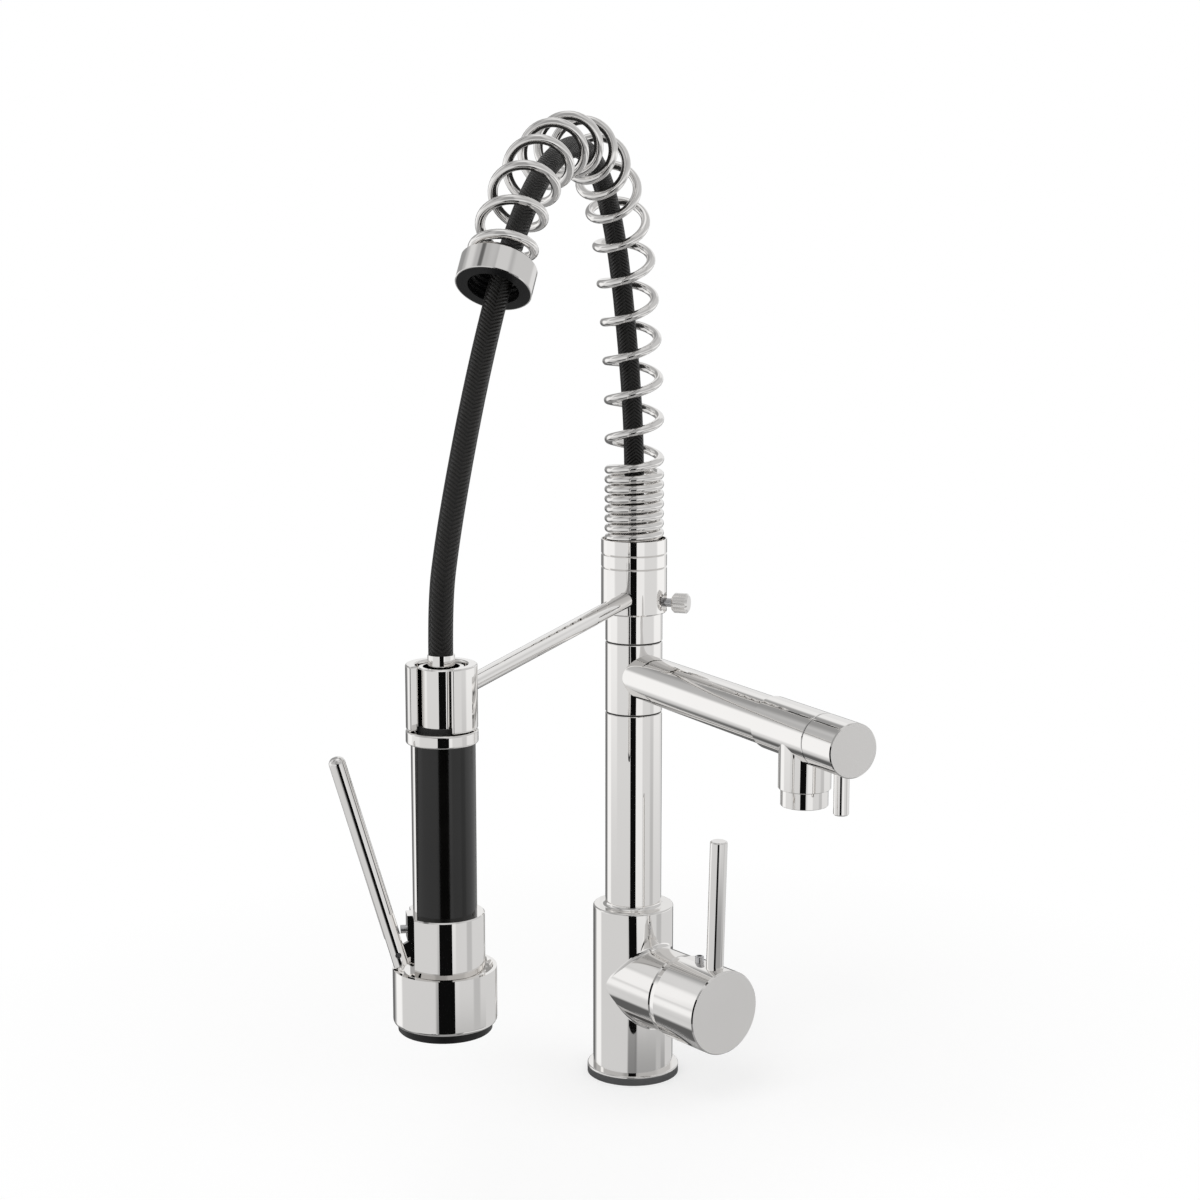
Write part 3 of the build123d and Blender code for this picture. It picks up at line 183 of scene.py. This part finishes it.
def coordinate(tree, name):
    """One of the outputs of a Texture Coordinate node."""
    return tree.nodes.new("ShaderNodeTexCoord").outputs[name]


def ramp(tree, source, stops):
    """The output of a colour ramp of grey stops, read at a socket."""
    node = tree.nodes.new("ShaderNodeValToRGB")
    tree.links.new(source, node.inputs[0])
    line = node.color_ramp
    while len(line.elements) < len(stops):
        line.elements.new(0.5)
    for element, (place, grey) in zip(line.elements, stops):
        element.position = place
        element.color = (grey, grey, grey, 1.0)
    return node.outputs[0]


def noise(tree, scale, detail):
    """The grey output of noise in the object's own space."""
    node = tree.nodes.new("ShaderNodeTexNoise")
    node.inputs["Scale"].default_value = scale
    node.inputs["Detail"].default_value = detail
    node.inputs["Roughness"].default_value = NOISE_ROUGHNESS
    tree.links.new(coordinate(tree, "Object"), node.inputs["Vector"])
    return node.outputs[0]


def bump(tree, shader, height, depth, strength):
    """Sets a bump from a height socket on the shader."""
    node = tree.nodes.new("ShaderNodeBump")
    node.inputs["Strength"].default_value = strength
    node.inputs["Distance"].default_value = depth
    tree.links.new(height, node.inputs["Height"])
    tree.links.new(node.outputs[0], shader.inputs["Normal"])


def tint(tree, shader, source, colours, places):
    """Sets a base colour between two colours, by a grey socket."""
    node = tree.nodes.new("ShaderNodeValToRGB")
    tree.links.new(source, node.inputs[0])
    for element, place, colour in zip(node.color_ramp.elements, places, colours):
        element.position = place
        element.color = (*colour, 1.0)
    tree.links.new(node.outputs[0], shader.inputs["Base Color"])


def gloss(tree, shader, source, roughness):
    """Sets a roughness between two values, by a noise socket."""
    level = ramp(tree, source, tuple(zip(NOISE_STOPS, roughness)))
    tree.links.new(level, shader.inputs["Roughness"])


def mixed(tree, share, first, second):
    """Two shaders mixed by a grey socket."""
    node = tree.nodes.new("ShaderNodeMixShader")
    for slot, source in zip(node.inputs, (share, first, second)):
        tree.links.new(source, slot)
    return node.outputs[0]


def white_light(tree, kind, strength):
    """A white emission or background of one strength."""
    node = tree.nodes.new(kind)
    node.inputs["Color"].default_value = WHITE
    node.inputs["Strength"].default_value = strength
    return node.outputs[0]


# Materials, one for each slot of the record


def metal(name, colours, roughness, grain):
    """A metal with faint unevenness in colour, gloss and surface."""
    material, shader = new_material(name)
    tree = material.node_tree
    scale, depth = grain
    shader.inputs["Metallic"].default_value = 1.0
    tint(tree, shader, noise(tree, METAL_TINT_SCALE, 3.0), colours, NOISE_STOPS)
    gloss(tree, shader, noise(tree, METAL_GLOSS_SCALE, 4.0), roughness)
    bump(tree, shader, noise(tree, scale, 2.0), depth, METAL_BUMP)
    return material


def satin_faced(name, **finish):
    """A metal as above whose flat end, about square to the x axis, has a satin finish."""
    material = metal(name, **finish)
    tree = material.node_tree
    slot = tree.nodes["Principled BSDF"].inputs["Roughness"]
    polished = slot.links[0].from_socket
    facing = split(tree, coordinate(tree, "Normal"))[0]
    flat = calc(tree, "GREATER_THAN", facing, SATIN_FACING)
    satin = calc(tree, "MULTIPLY_ADD", noise(tree, SATIN_SCALE, 3.0), SATIN_CHANGE, SATIN_ROUGHNESS)
    tree.links.new(calc(tree, "MAXIMUM", polished, calc(tree, "MULTIPLY", flat, satin)), slot)
    return material


def moulded(name, colours, roughness, grain, specular=0.5):
    """A moulded plastic, ceramic or rubber with a fine surface grain."""
    material, shader = new_material(name)
    tree = material.node_tree
    scale, depth = grain
    shader.inputs["Specular IOR Level"].default_value = specular
    tint(tree, shader, noise(tree, MOULDED_TINT_SCALE, 3.0), colours, NOISE_STOPS)
    gloss(tree, shader, noise(tree, MOULDED_GLOSS_SCALE, 4.0), roughness)
    bump(tree, shader, noise(tree, scale, 2.0), depth, MOULDED_BUMP)
    return material


def hump(tree, share):
    """A smooth rise from 0 to 1 and back, as a socket goes from 0 to 1."""
    rest = calc(tree, "SUBTRACT", 1.0, share)
    return calc(tree, "MULTIPLY", calc(tree, "MULTIPLY", share, rest), 4.0)


def braided(name):
    """A woven braid: strands in zigzag columns, laid out in the tube's own coordinates, its colour darker
    in the gaps between strands as painted shade.
    """
    material, shader = new_material(name)
    tree = material.node_tree
    layout = tree.nodes.new("ShaderNodeUVMap")
    layout.uv_map = "braid"
    turn, run = split(tree, layout.outputs[0])[:2]
    zigzag = calc(tree, "PINGPONG", turn, 1.0)
    strand = calc(tree, "SUBTRACT", run, calc(tree, "MULTIPLY", zigzag, BRAID_RISE))
    crown = hump(tree, calc(tree, "FRACT", strand))
    swell = calc(tree, "MULTIPLY", hump(tree, zigzag), 1.0 - BRAID_EDGE_HEIGHT)
    height = calc(tree, "MULTIPLY", crown, calc(tree, "ADD", swell, BRAID_EDGE_HEIGHT))
    fibres = noise(tree, FIBRE_SCALE, 2.0)
    surface = calc(tree, "ADD", height, calc(tree, "MULTIPLY", fibres, FIBRE_HEIGHT))
    shader.inputs["Specular IOR Level"].default_value = BRAID_SPECULAR
    # Colour by the relief: darker in the gaps between strands and at the column edges as painted shade,
    # with random fibre tone from the noise
    tint(tree, shader, surface, BRAID_COLOURS_WITH_GAP_SHADE, BRAID_GAP_SHADE_STOPS)
    gloss(tree, shader, fibres, BRAID_ROUGHNESS)
    bump(tree, shader, surface, BRAID_DEPTH, BRAID_BUMP)
    return material


# Each finish has its two colours, its roughness from and to, and the scale and depth of its grain
CHROME = {
    "colours": ((0.935, 0.92, 0.903), (0.962, 0.947, 0.931)),
    "roughness": (0.012, 0.03),
    "grain": (260.0, 0.000006),
}
METALS = {
    "chrome": CHROME,
    "brass": {
        "colours": ((0.68, 0.50, 0.22), (0.76, 0.60, 0.30)),
        "roughness": (0.22, 0.34),
        "grain": (900.0, 0.00006),
    },
    "steel": {
        "colours": ((0.55, 0.55, 0.56), (0.64, 0.64, 0.65)),
        "roughness": (0.2, 0.32),
        "grain": (1200.0, 0.00005),
    },
}
MOULDINGS = {
    "grip_black": {
        "colours": ((0.0018, 0.0017, 0.0015), (0.0034, 0.0032, 0.0029)),
        "roughness": (0.1, 0.16),
        "grain": (1500.0, 0.00003),
        "specular": 0.6,
    },
    "black_plastic": {
        "colours": ((0.004, 0.004, 0.0045), (0.009, 0.009, 0.0095)),
        "roughness": (0.34, 0.48),
        "grain": (2400.0, 0.00008),
        "specular": 0.35,
    },
    "rubber": {
        "colours": ((0.010, 0.010, 0.010), (0.020, 0.020, 0.020)),
        "roughness": (0.55, 0.72),
        "grain": (3000.0, 0.0001),
    },
    "gasket_grey": {
        "colours": ((0.085, 0.086, 0.088), (0.115, 0.116, 0.118)),
        "roughness": (0.55, 0.7),
        "grain": (2600.0, 0.0001),
    },
    "ceramic": {
        "colours": ((0.72, 0.71, 0.68), (0.80, 0.79, 0.76)),
        "roughness": (0.14, 0.22),
        "grain": (1800.0, 0.00002),
    },
    "white_plastic": {
        "colours": ((0.66, 0.66, 0.65), (0.73, 0.73, 0.72)),
        "roughness": (0.32, 0.44),
        "grain": (2200.0, 0.00006),
    },
}
MATERIALS = {name: metal(name, **finish) for name, finish in METALS.items()}
MATERIALS.update({name: moulded(name, **finish) for name, finish in MOULDINGS.items()})
MATERIALS["hose_braid"] = braided("hose_braid")

for subpart in frame["record"]["subparts"]:
    solid = frame["nodes"][subpart["node"]]
    solid.data.materials.clear()
    solid.data.materials.append(MATERIALS[subpart["material_slot"]])

chrome_cap = satin_faced("chrome_cap", **CHROME)
for node in SATIN_NODES:
    frame["nodes"][node].data.materials[0] = chrome_cap


# Meshes


def new_piece(name, points, faces):
    """An object in the scene, with a mesh of points and faces."""
    mesh = bpy.data.meshes.new(name)
    mesh.from_pydata(points, [], faces)
    piece = bpy.data.objects.new(name, mesh)
    bpy.context.scene.collection.objects.link(piece)
    return piece


def tube(name, rings, wrap, along):
    """A closed-ended smooth tube through rings of points, with a map of its turns and length."""
    count, sides = rings.shape[:2]
    faces = []
    layout = []
    for ring in range(count - 1):
        for step in range(sides):
            turn = (step + 1) % sides
            low, high = ring * sides, (ring + 1) * sides
            faces.append((low + step, low + turn, high + turn, high + step))
            first, last = wrap * step / sides, wrap * (step + 1) / sides
            bottom, top = along[ring], along[ring + 1]
            layout += [(first, bottom), (last, bottom), (last, top), (first, top)]
    faces.append(tuple(range(sides - 1, -1, -1)))
    faces.append(tuple(range((count - 1) * sides, count * sides)))
    layout += [(0.0, 0.0)] * (2 * sides)
    piece = new_piece(name, rings.reshape(-1, 3).tolist(), faces)
    mesh = piece.data
    mesh.uv_layers.new(name="braid").data.foreach_set("uv", np.array(layout).ravel())
    mesh.polygons.foreach_set("use_smooth", [True] * (len(faces) - 2) + [False] * 2)
    return piece


def circle_rings(centres, across, over, radius, sides):
    """Rings of points round centres, each in the plane of its two unit directions."""
    angles = np.arange(sides) * 2 * pi / sides
    wheel = np.stack((np.cos(angles), np.sin(angles)))
    rings = across[:, None] * wheel[0][None, :, None] + over[:, None] * wheel[1][None, :, None]
    return centres[:, None] + radius * rings


def unit(vectors):
    """Vectors of length 1."""
    return vectors / np.linalg.norm(vectors, axis=-1, keepdims=True)


# Spring: its wire wound round the arch's centreline

ARCH_LENGTH = SPRING_STRAIGHT + sum(radius * angle for radius, angle in ARCH_BENDS) + SPRING_TAIL
SPRING_FOOT = WIRE_RADIUS + SPRING_END_LIFT
SPRING_TURNS = CLOSE_TURNS + RAMP_TURNS + OPEN_TURNS + END_TURNS


def arch_frame(length):
    """Centre and inward normal of the arch at a length from the seat floor."""
    run = min(length, SPRING_STRAIGHT)
    left = length - run
    reach, height, heading = 0.0, SEAT_FLOOR + run, 0.0
    for radius, angle in ARCH_BENDS:
        turn = min(angle, max(left, 0.0) / radius)
        reach += radius * (cos(heading) - cos(heading + turn))
        height += radius * (sin(heading + turn) - sin(heading))
        heading += turn
        left -= radius * turn
    reach += left * sin(heading)
    height += left * cos(heading)
    return OUT * reach + UP * height, OUT * cos(heading) - UP * sin(heading)


def climb(turn):
    """Length along the arch after a number of turns of the spring."""
    blend = (RAMP_TURNS + END_TURNS) / 2
    spare = ARCH_LENGTH - 2 * SPRING_FOOT - CLOSE_PITCH * (CLOSE_TURNS + blend)
    open_pitch = spare / (OPEN_TURNS + blend)
    stages = (
        (CLOSE_TURNS, CLOSE_PITCH, CLOSE_PITCH),
        (RAMP_TURNS, CLOSE_PITCH, open_pitch),
        (OPEN_TURNS, open_pitch, open_pitch),
        (END_TURNS, open_pitch, CLOSE_PITCH),
    )
    length = SPRING_FOOT
    for turns, first, last in stages:
        share = min(turn, turns)
        length += share * (first + (last - first) * share / turns / 2)
        turn -= share
    return length


def spring():
    """The wire as a fine smooth tube, with its short straight ends."""
    count = round(SPRING_TURNS * RINGS_PER_TURN)
    centres = []
    outwards = []
    for step in range(count + 1):
        turn = SPRING_TURNS * step / count
        centre, inward = arch_frame(climb(turn))
        angle = SPRING_START_ANGLE + 2 * pi * turn
        outward = inward * cos(angle) + SIDE * sin(angle)
        centres.append(centre + outward * COIL_RADIUS)
        outwards.append(outward)
    ways = unit(np.gradient(np.array(centres), axis=0))
    end_run = 2 * WIRE_RADIUS
    centres = [centres[0] - ways[0] * end_run, *centres, centres[-1] + ways[-1] * end_run]
    outwards = np.array([outwards[0], *outwards, outwards[-1]])
    ways = np.array([ways[0], *ways, ways[-1]])
    outwards = unit(outwards - (outwards * ways).sum(axis=1, keepdims=True) * ways)
    overs = np.cross(ways, outwards)
    rings = circle_rings(np.array(centres), outwards, overs, WIRE_RADIUS, WIRE_SIDES)
    piece = tube("spring_wire", rings, 1.0, np.linspace(0.0, SPRING_TURNS, len(centres)))
    piece.data.materials.append(MATERIALS["chrome"])
    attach(piece, "upper")
    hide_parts("spring")


spring()


# Hose: a braided tube on a smooth spline of the route's points


def in_frame(point):
    """A point given as reach, side and height above the seat floor."""
    reach, side, height = point
    return OUT * reach + SIDE * side + UP * (SEAT_FLOOR + height)


def spline_points(controls):
    """Points along the smooth spline that the control points shape."""
    data = bpy.data.curves.new("hose_line", "CURVE")
    data.dimensions = "3D"
    data.resolution_u = ROUTE_STEPS
    spline = data.splines.new("NURBS")
    spline.points.add(len(controls) - 1)
    for point, place in zip(spline.points, controls):
        point.co = (*place, 1.0)
    spline.order_u = 3
    spline.use_endpoint_u = True
    line = bpy.data.objects.new("hose_line", data)
    mesh = bpy.data.meshes.new_from_object(line)
    points = np.array([vertex.co for vertex in mesh.vertices])
    bpy.data.objects.remove(line)
    bpy.data.meshes.remove(mesh)
    return points


def hose():
    """The whole hose, from its lower ferrule to the one on the spray head."""
    line = spline_points([in_frame(point) for point in HOSE_ROUTE])
    lengths = np.concatenate(((0.0,), np.cumsum(np.linalg.norm(np.diff(line, axis=0), axis=1))))
    stops = np.linspace(0.0, lengths[-1], round(lengths[-1] / HOSE_STEP) + 1)
    centres = np.stack([np.interp(stops, lengths, line[:, axis]) for axis in range(3)], axis=1)
    ways = unit(np.gradient(centres, axis=0))
    across = unit(SIDE - (ways @ SIDE)[:, None] * ways)
    rings = circle_rings(centres, across, np.cross(ways, across), HOSE_RADIUS, HOSE_SIDES)
    piece = tube("hose", rings, BRAID_COLUMNS, stops / BRAID_PITCH)
    piece.data.materials.append(MATERIALS["hose_braid"])
    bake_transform(piece)
    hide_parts("hose_arch", "hose_drop")


hose()


# Floor, seen as white round the object, with its shadow

FLOOR_RADIUS = 0.42
FLOOR_SIDES = 96
FLOOR_GREY = 0.5
FLOOR_ROUGHNESS = 0.9
FLOOR_LIFT = 0.56
FLOOR_SHINE = 0.04

# Fade to white by share of the radius, and to clear in reflections by metres from the column's axis
FLOOR_FADE = ((0.45, 0.0), (1.0, 1.0))
FLOOR_CLEAR = ((0.027, 0.0), (0.036, 1.0))


def ray_kinds(tree):
    """Sockets that are 1 for the camera's rays, and for reflected or refracted rays."""
    rays = tree.nodes.new("ShaderNodeLightPath").outputs
    shine = calc(tree, "MAXIMUM", rays["Is Glossy Ray"], rays["Is Transmission Ray"])
    return rays["Is Camera Ray"], shine


def floor():
    """A pale disc that fades into the white surround at its edge."""
    angles = [2 * pi * step / FLOOR_SIDES for step in range(FLOOR_SIDES)]
    rim = [(FLOOR_RADIUS * cos(angle), FLOOR_RADIUS * sin(angle), 0.0) for angle in angles]
    piece = new_piece("floor", rim, [tuple(range(FLOOR_SIDES))])
    material, shader = new_material("floor")
    tree = material.node_tree
    shader.inputs["Base Color"].default_value = (FLOOR_GREY, FLOOR_GREY, FLOOR_GREY, 1.0)
    shader.inputs["Roughness"].default_value = FLOOR_ROUGHNESS
    shader.inputs["Specular IOR Level"].default_value = 0.0
    shader.inputs["Emission Color"].default_value = WHITE
    camera, shine = ray_kinds(tree)
    seen_lift = calc(tree, "MULTIPLY", camera, FLOOR_LIFT)
    lift = calc(tree, "ADD", seen_lift, calc(tree, "MULTIPLY", shine, FLOOR_SHINE))
    tree.links.new(lift, shader.inputs["Emission Strength"])
    white = white_light(tree, "ShaderNodeEmission", 1.0)
    away = measure(tree, "LENGTH", coordinate(tree, "Object"))
    fade = ramp(tree, calc(tree, "DIVIDE", away, FLOOR_RADIUS), FLOOR_FADE)
    pale = mixed(tree, calc(tree, "MULTIPLY", fade, camera), shader.outputs[0], white)
    far = ramp(tree, away, FLOOR_CLEAR)
    clear = tree.nodes.new("ShaderNodeBsdfTransparent")
    whole = mixed(tree, calc(tree, "MULTIPLY", far, shine), pale, clear.outputs[0])
    tree.links.new(whole, tree.nodes["Material Output"].inputs["Surface"])
    piece.data.materials.append(material)


floor()


# Studio surround: white to the eye, with the softer walls and panels that polished metal shows

SOFT_LIGHT = 0.62

# Grey of the walls by degrees above the horizon
WALLS = (
    (-90, 0.30),
    (-55, 0.30),
    (-45, 0.36),
    (-38, 0.63),
    (-30, 0.66),
    (-24, 0.61),
    (-16, 0.67),
    (-4, 0.74),
    (2, 0.58),
    (14, 0.50),
    (30, 0.44),
    (48, 0.46),
    (65, 0.45),
    (77, 0.80),
    (90, 0.95),
)

# Panels over the walls, later ones over earlier ones: degrees right of the camera from and to,
# degrees above the horizon from and to, grey, and degrees of soft edge
PANELS = {
    "back_wall_right": (132, 190, -2, 45, 0.80, 5),
    "back_wall_left": (-190, -168, -2, 48, 0.86, 4),
    "back_floor_right": (157, 190, -40, -3, 0.13, 4),
    "back_floor_left": (-190, -156, -40, -3, 0.14, 5),
    "left_gap": (-166, -134, -20, 52, 0.31, 5),
    "left_gap_foot": (-162, -142, -34, -8, 0.15, 4),
    "left_softbox": (-132, -106, -24, 12, 0.95, 4),
    "left_tall_softbox": (-108, -96, 2, 32, 0.92, 3),
    "left_upper_wall": (-128, -90, 28, 44, 0.68, 5),
    "left_strip": (-108, -72, -13, -1, 0.92, 4),
    "left_low_panel": (-144, -110, -52, -30, 0.11, 3),
    "left_high_panel": (-86, -68, 42, 62, 0.13, 4),
    "front_dim": (-28, 11, 0, 56, 0.33, 7),
    "right_far_strip": (88, 134, -13, -1, 0.95, 5),
    "right_side_wall": (72, 142, 2, 60, 0.57, 6),
    "right_upper_wall": (12, 62, 38, 72, 0.62, 6),
    "right_floor": (4, 106, -31, -20.3, 0.34, 1.2),
    "right_strip": (9, 36, -18.2, -1, 0.86, 2.5),
    "right_dim": (70, 88, -24, -13, 0.50, 3),
    "right_low_floor": (8, 48, -42, -31, 0.27, 3),
    "right_low_wall": (48, 132, -48, -32, 0.74, 3),
    "table_left": (-72, -13, -60, -40.5, 0.07, 1.5),
    "table_right": (36, 47, -60, -41, 0.08, 3),
    "front_low_dim": (-16, 10, -42, -19, 0.2, 3),
}


def edge(tree, source, place, soft, rising):
    """A smooth step of a socket at a place, up or down."""
    ends = (0.0, 1.0) if rising else (1.0, 0.0)
    node = tree.nodes.new("ShaderNodeMapRange")
    node.interpolation_type = "SMOOTHSTEP"
    tree.links.new(source, node.inputs[0])
    for slot, value in zip(node.inputs[1:5], (place - soft, place + soft, *ends)):
        slot.default_value = value
    return node.outputs[0]


def band(tree, source, low, high, soft):
    """A socket's soft-edged span from low to high."""
    rise = edge(tree, source, low, soft, True)
    return calc(tree, "MULTIPLY", rise, edge(tree, source, high, soft, False))


def with_panel(tree, walls, turn, tilt, area):
    """The walls' grey with a soft-edged panel over them."""
    left, right, low, high, grey, soft = area
    wide = band(tree, turn, left, right, soft)
    tall = band(tree, tilt, low, high, soft)
    change = calc(tree, "SUBTRACT", grey, walls)
    return calc(tree, "ADD", walls, calc(tree, "MULTIPLY", calc(tree, "MULTIPLY", wide, tall), change))


def surround():
    """A world that is white to the eye, soft grey to rough surfaces, and shows panels to polished ones."""
    world = bpy.data.worlds.new("studio")
    bpy.context.scene.world = world
    world.use_nodes = True
    tree = world.node_tree
    way = coordinate(tree, "Generated")
    toward = measure(tree, "DOT_PRODUCT", way, TO_CAMERA)
    across = measure(tree, "DOT_PRODUCT", way, TO_RIGHT)
    turn = calc(tree, "DEGREES", calc(tree, "ARCTAN2", across, toward))
    tilt = calc(tree, "DEGREES", calc(tree, "ARCSINE", split(tree, way)[2]))
    level = calc(tree, "ADD", calc(tree, "DIVIDE", tilt, 180.0), 0.5)
    walls = ramp(tree, level, [(degrees / 180 + 0.5, grey) for degrees, grey in WALLS])
    for area in PANELS.values():
        walls = with_panel(tree, walls, turn, tilt, area)
    camera, shine = ray_kinds(tree)
    panels = tree.nodes.new("ShaderNodeBackground")
    tree.links.new(walls, panels.inputs["Color"])
    white = white_light(tree, "ShaderNodeBackground", 1.0)
    soft = white_light(tree, "ShaderNodeBackground", SOFT_LIGHT)
    shown = mixed(tree, shine, white, panels.outputs[0])
    whole = mixed(tree, calc(tree, "MAXIMUM", camera, shine), soft, shown)
    tree.links.new(whole, tree.nodes["World Output"].inputs["Surface"])


surround()


# Black flag between the camera and the object, seen only in its reflections

FLAG_AWAY = 0.64
FLAG_SIDES = (-0.153, 0.096)
FLAG_HEIGHTS = (-0.20, 0.30)
FLAG_GREY = 0.006


def flag():
    """An upright dark sheet that faces the object, hidden from the camera and from the lamps."""
    middle = np.array(TO_CAMERA) * FLAG_AWAY
    left, right = (middle + np.array(TO_RIGHT) * side for side in FLAG_SIDES)
    low, high = (UP * height for height in FLAG_HEIGHTS)
    piece = new_piece("flag", [left + low, right + low, right + high, left + high], [(0, 1, 2, 3)])
    material, shader = new_material("flag")
    shader.inputs["Base Color"].default_value = (FLAG_GREY, FLAG_GREY, FLAG_GREY, 1.0)
    shader.inputs["Roughness"].default_value = 1.0
    shader.inputs["Specular IOR Level"].default_value = 0.0
    piece.data.materials.append(material)
    piece.visible_camera = False
    piece.visible_diffuse = False
    piece.visible_shadow = False


flag()


# Lamps: place, size and watts of each

LAMP_TARGET = (0.05, -0.08, 0.25)
LAMPS = {
    "key_light": ((0.5, -1.1, 1.5), 1.2, 9.0),
    "fill_light": ((1.2, 0.7, 1.2), 1.4, 5.0),
}


def lamp(name, place, size, watts):
    """A soft square lamp that faces the object, and isn't mirrored in the metal."""
    data = bpy.data.lights.new(name, "AREA")
    data.shape = "SQUARE"
    data.size = size
    data.energy = watts
    light = bpy.data.objects.new(name, data)
    bpy.context.scene.collection.objects.link(light)
    light.location = place
    light.rotation_euler = (Vector(LAMP_TARGET) - Vector(place)).to_track_quat("-Z", "Y").to_euler()
    light.visible_glossy = False


for name, values in LAMPS.items():
    lamp(name, *values)

# Camera

view = bpy.data.cameras.new("camera")
view.lens = CAMERA_LENS
view.sensor_width = CAMERA_SENSOR
eye = bpy.data.objects.new("camera", view)
eye.location = CAMERA_PLACE
eye.rotation_euler = CAMERA_TURN
bpy.context.scene.collection.objects.link(eye)
bpy.context.scene.camera = eye
bpy.context.scene.view_settings.view_transform = "Standard"
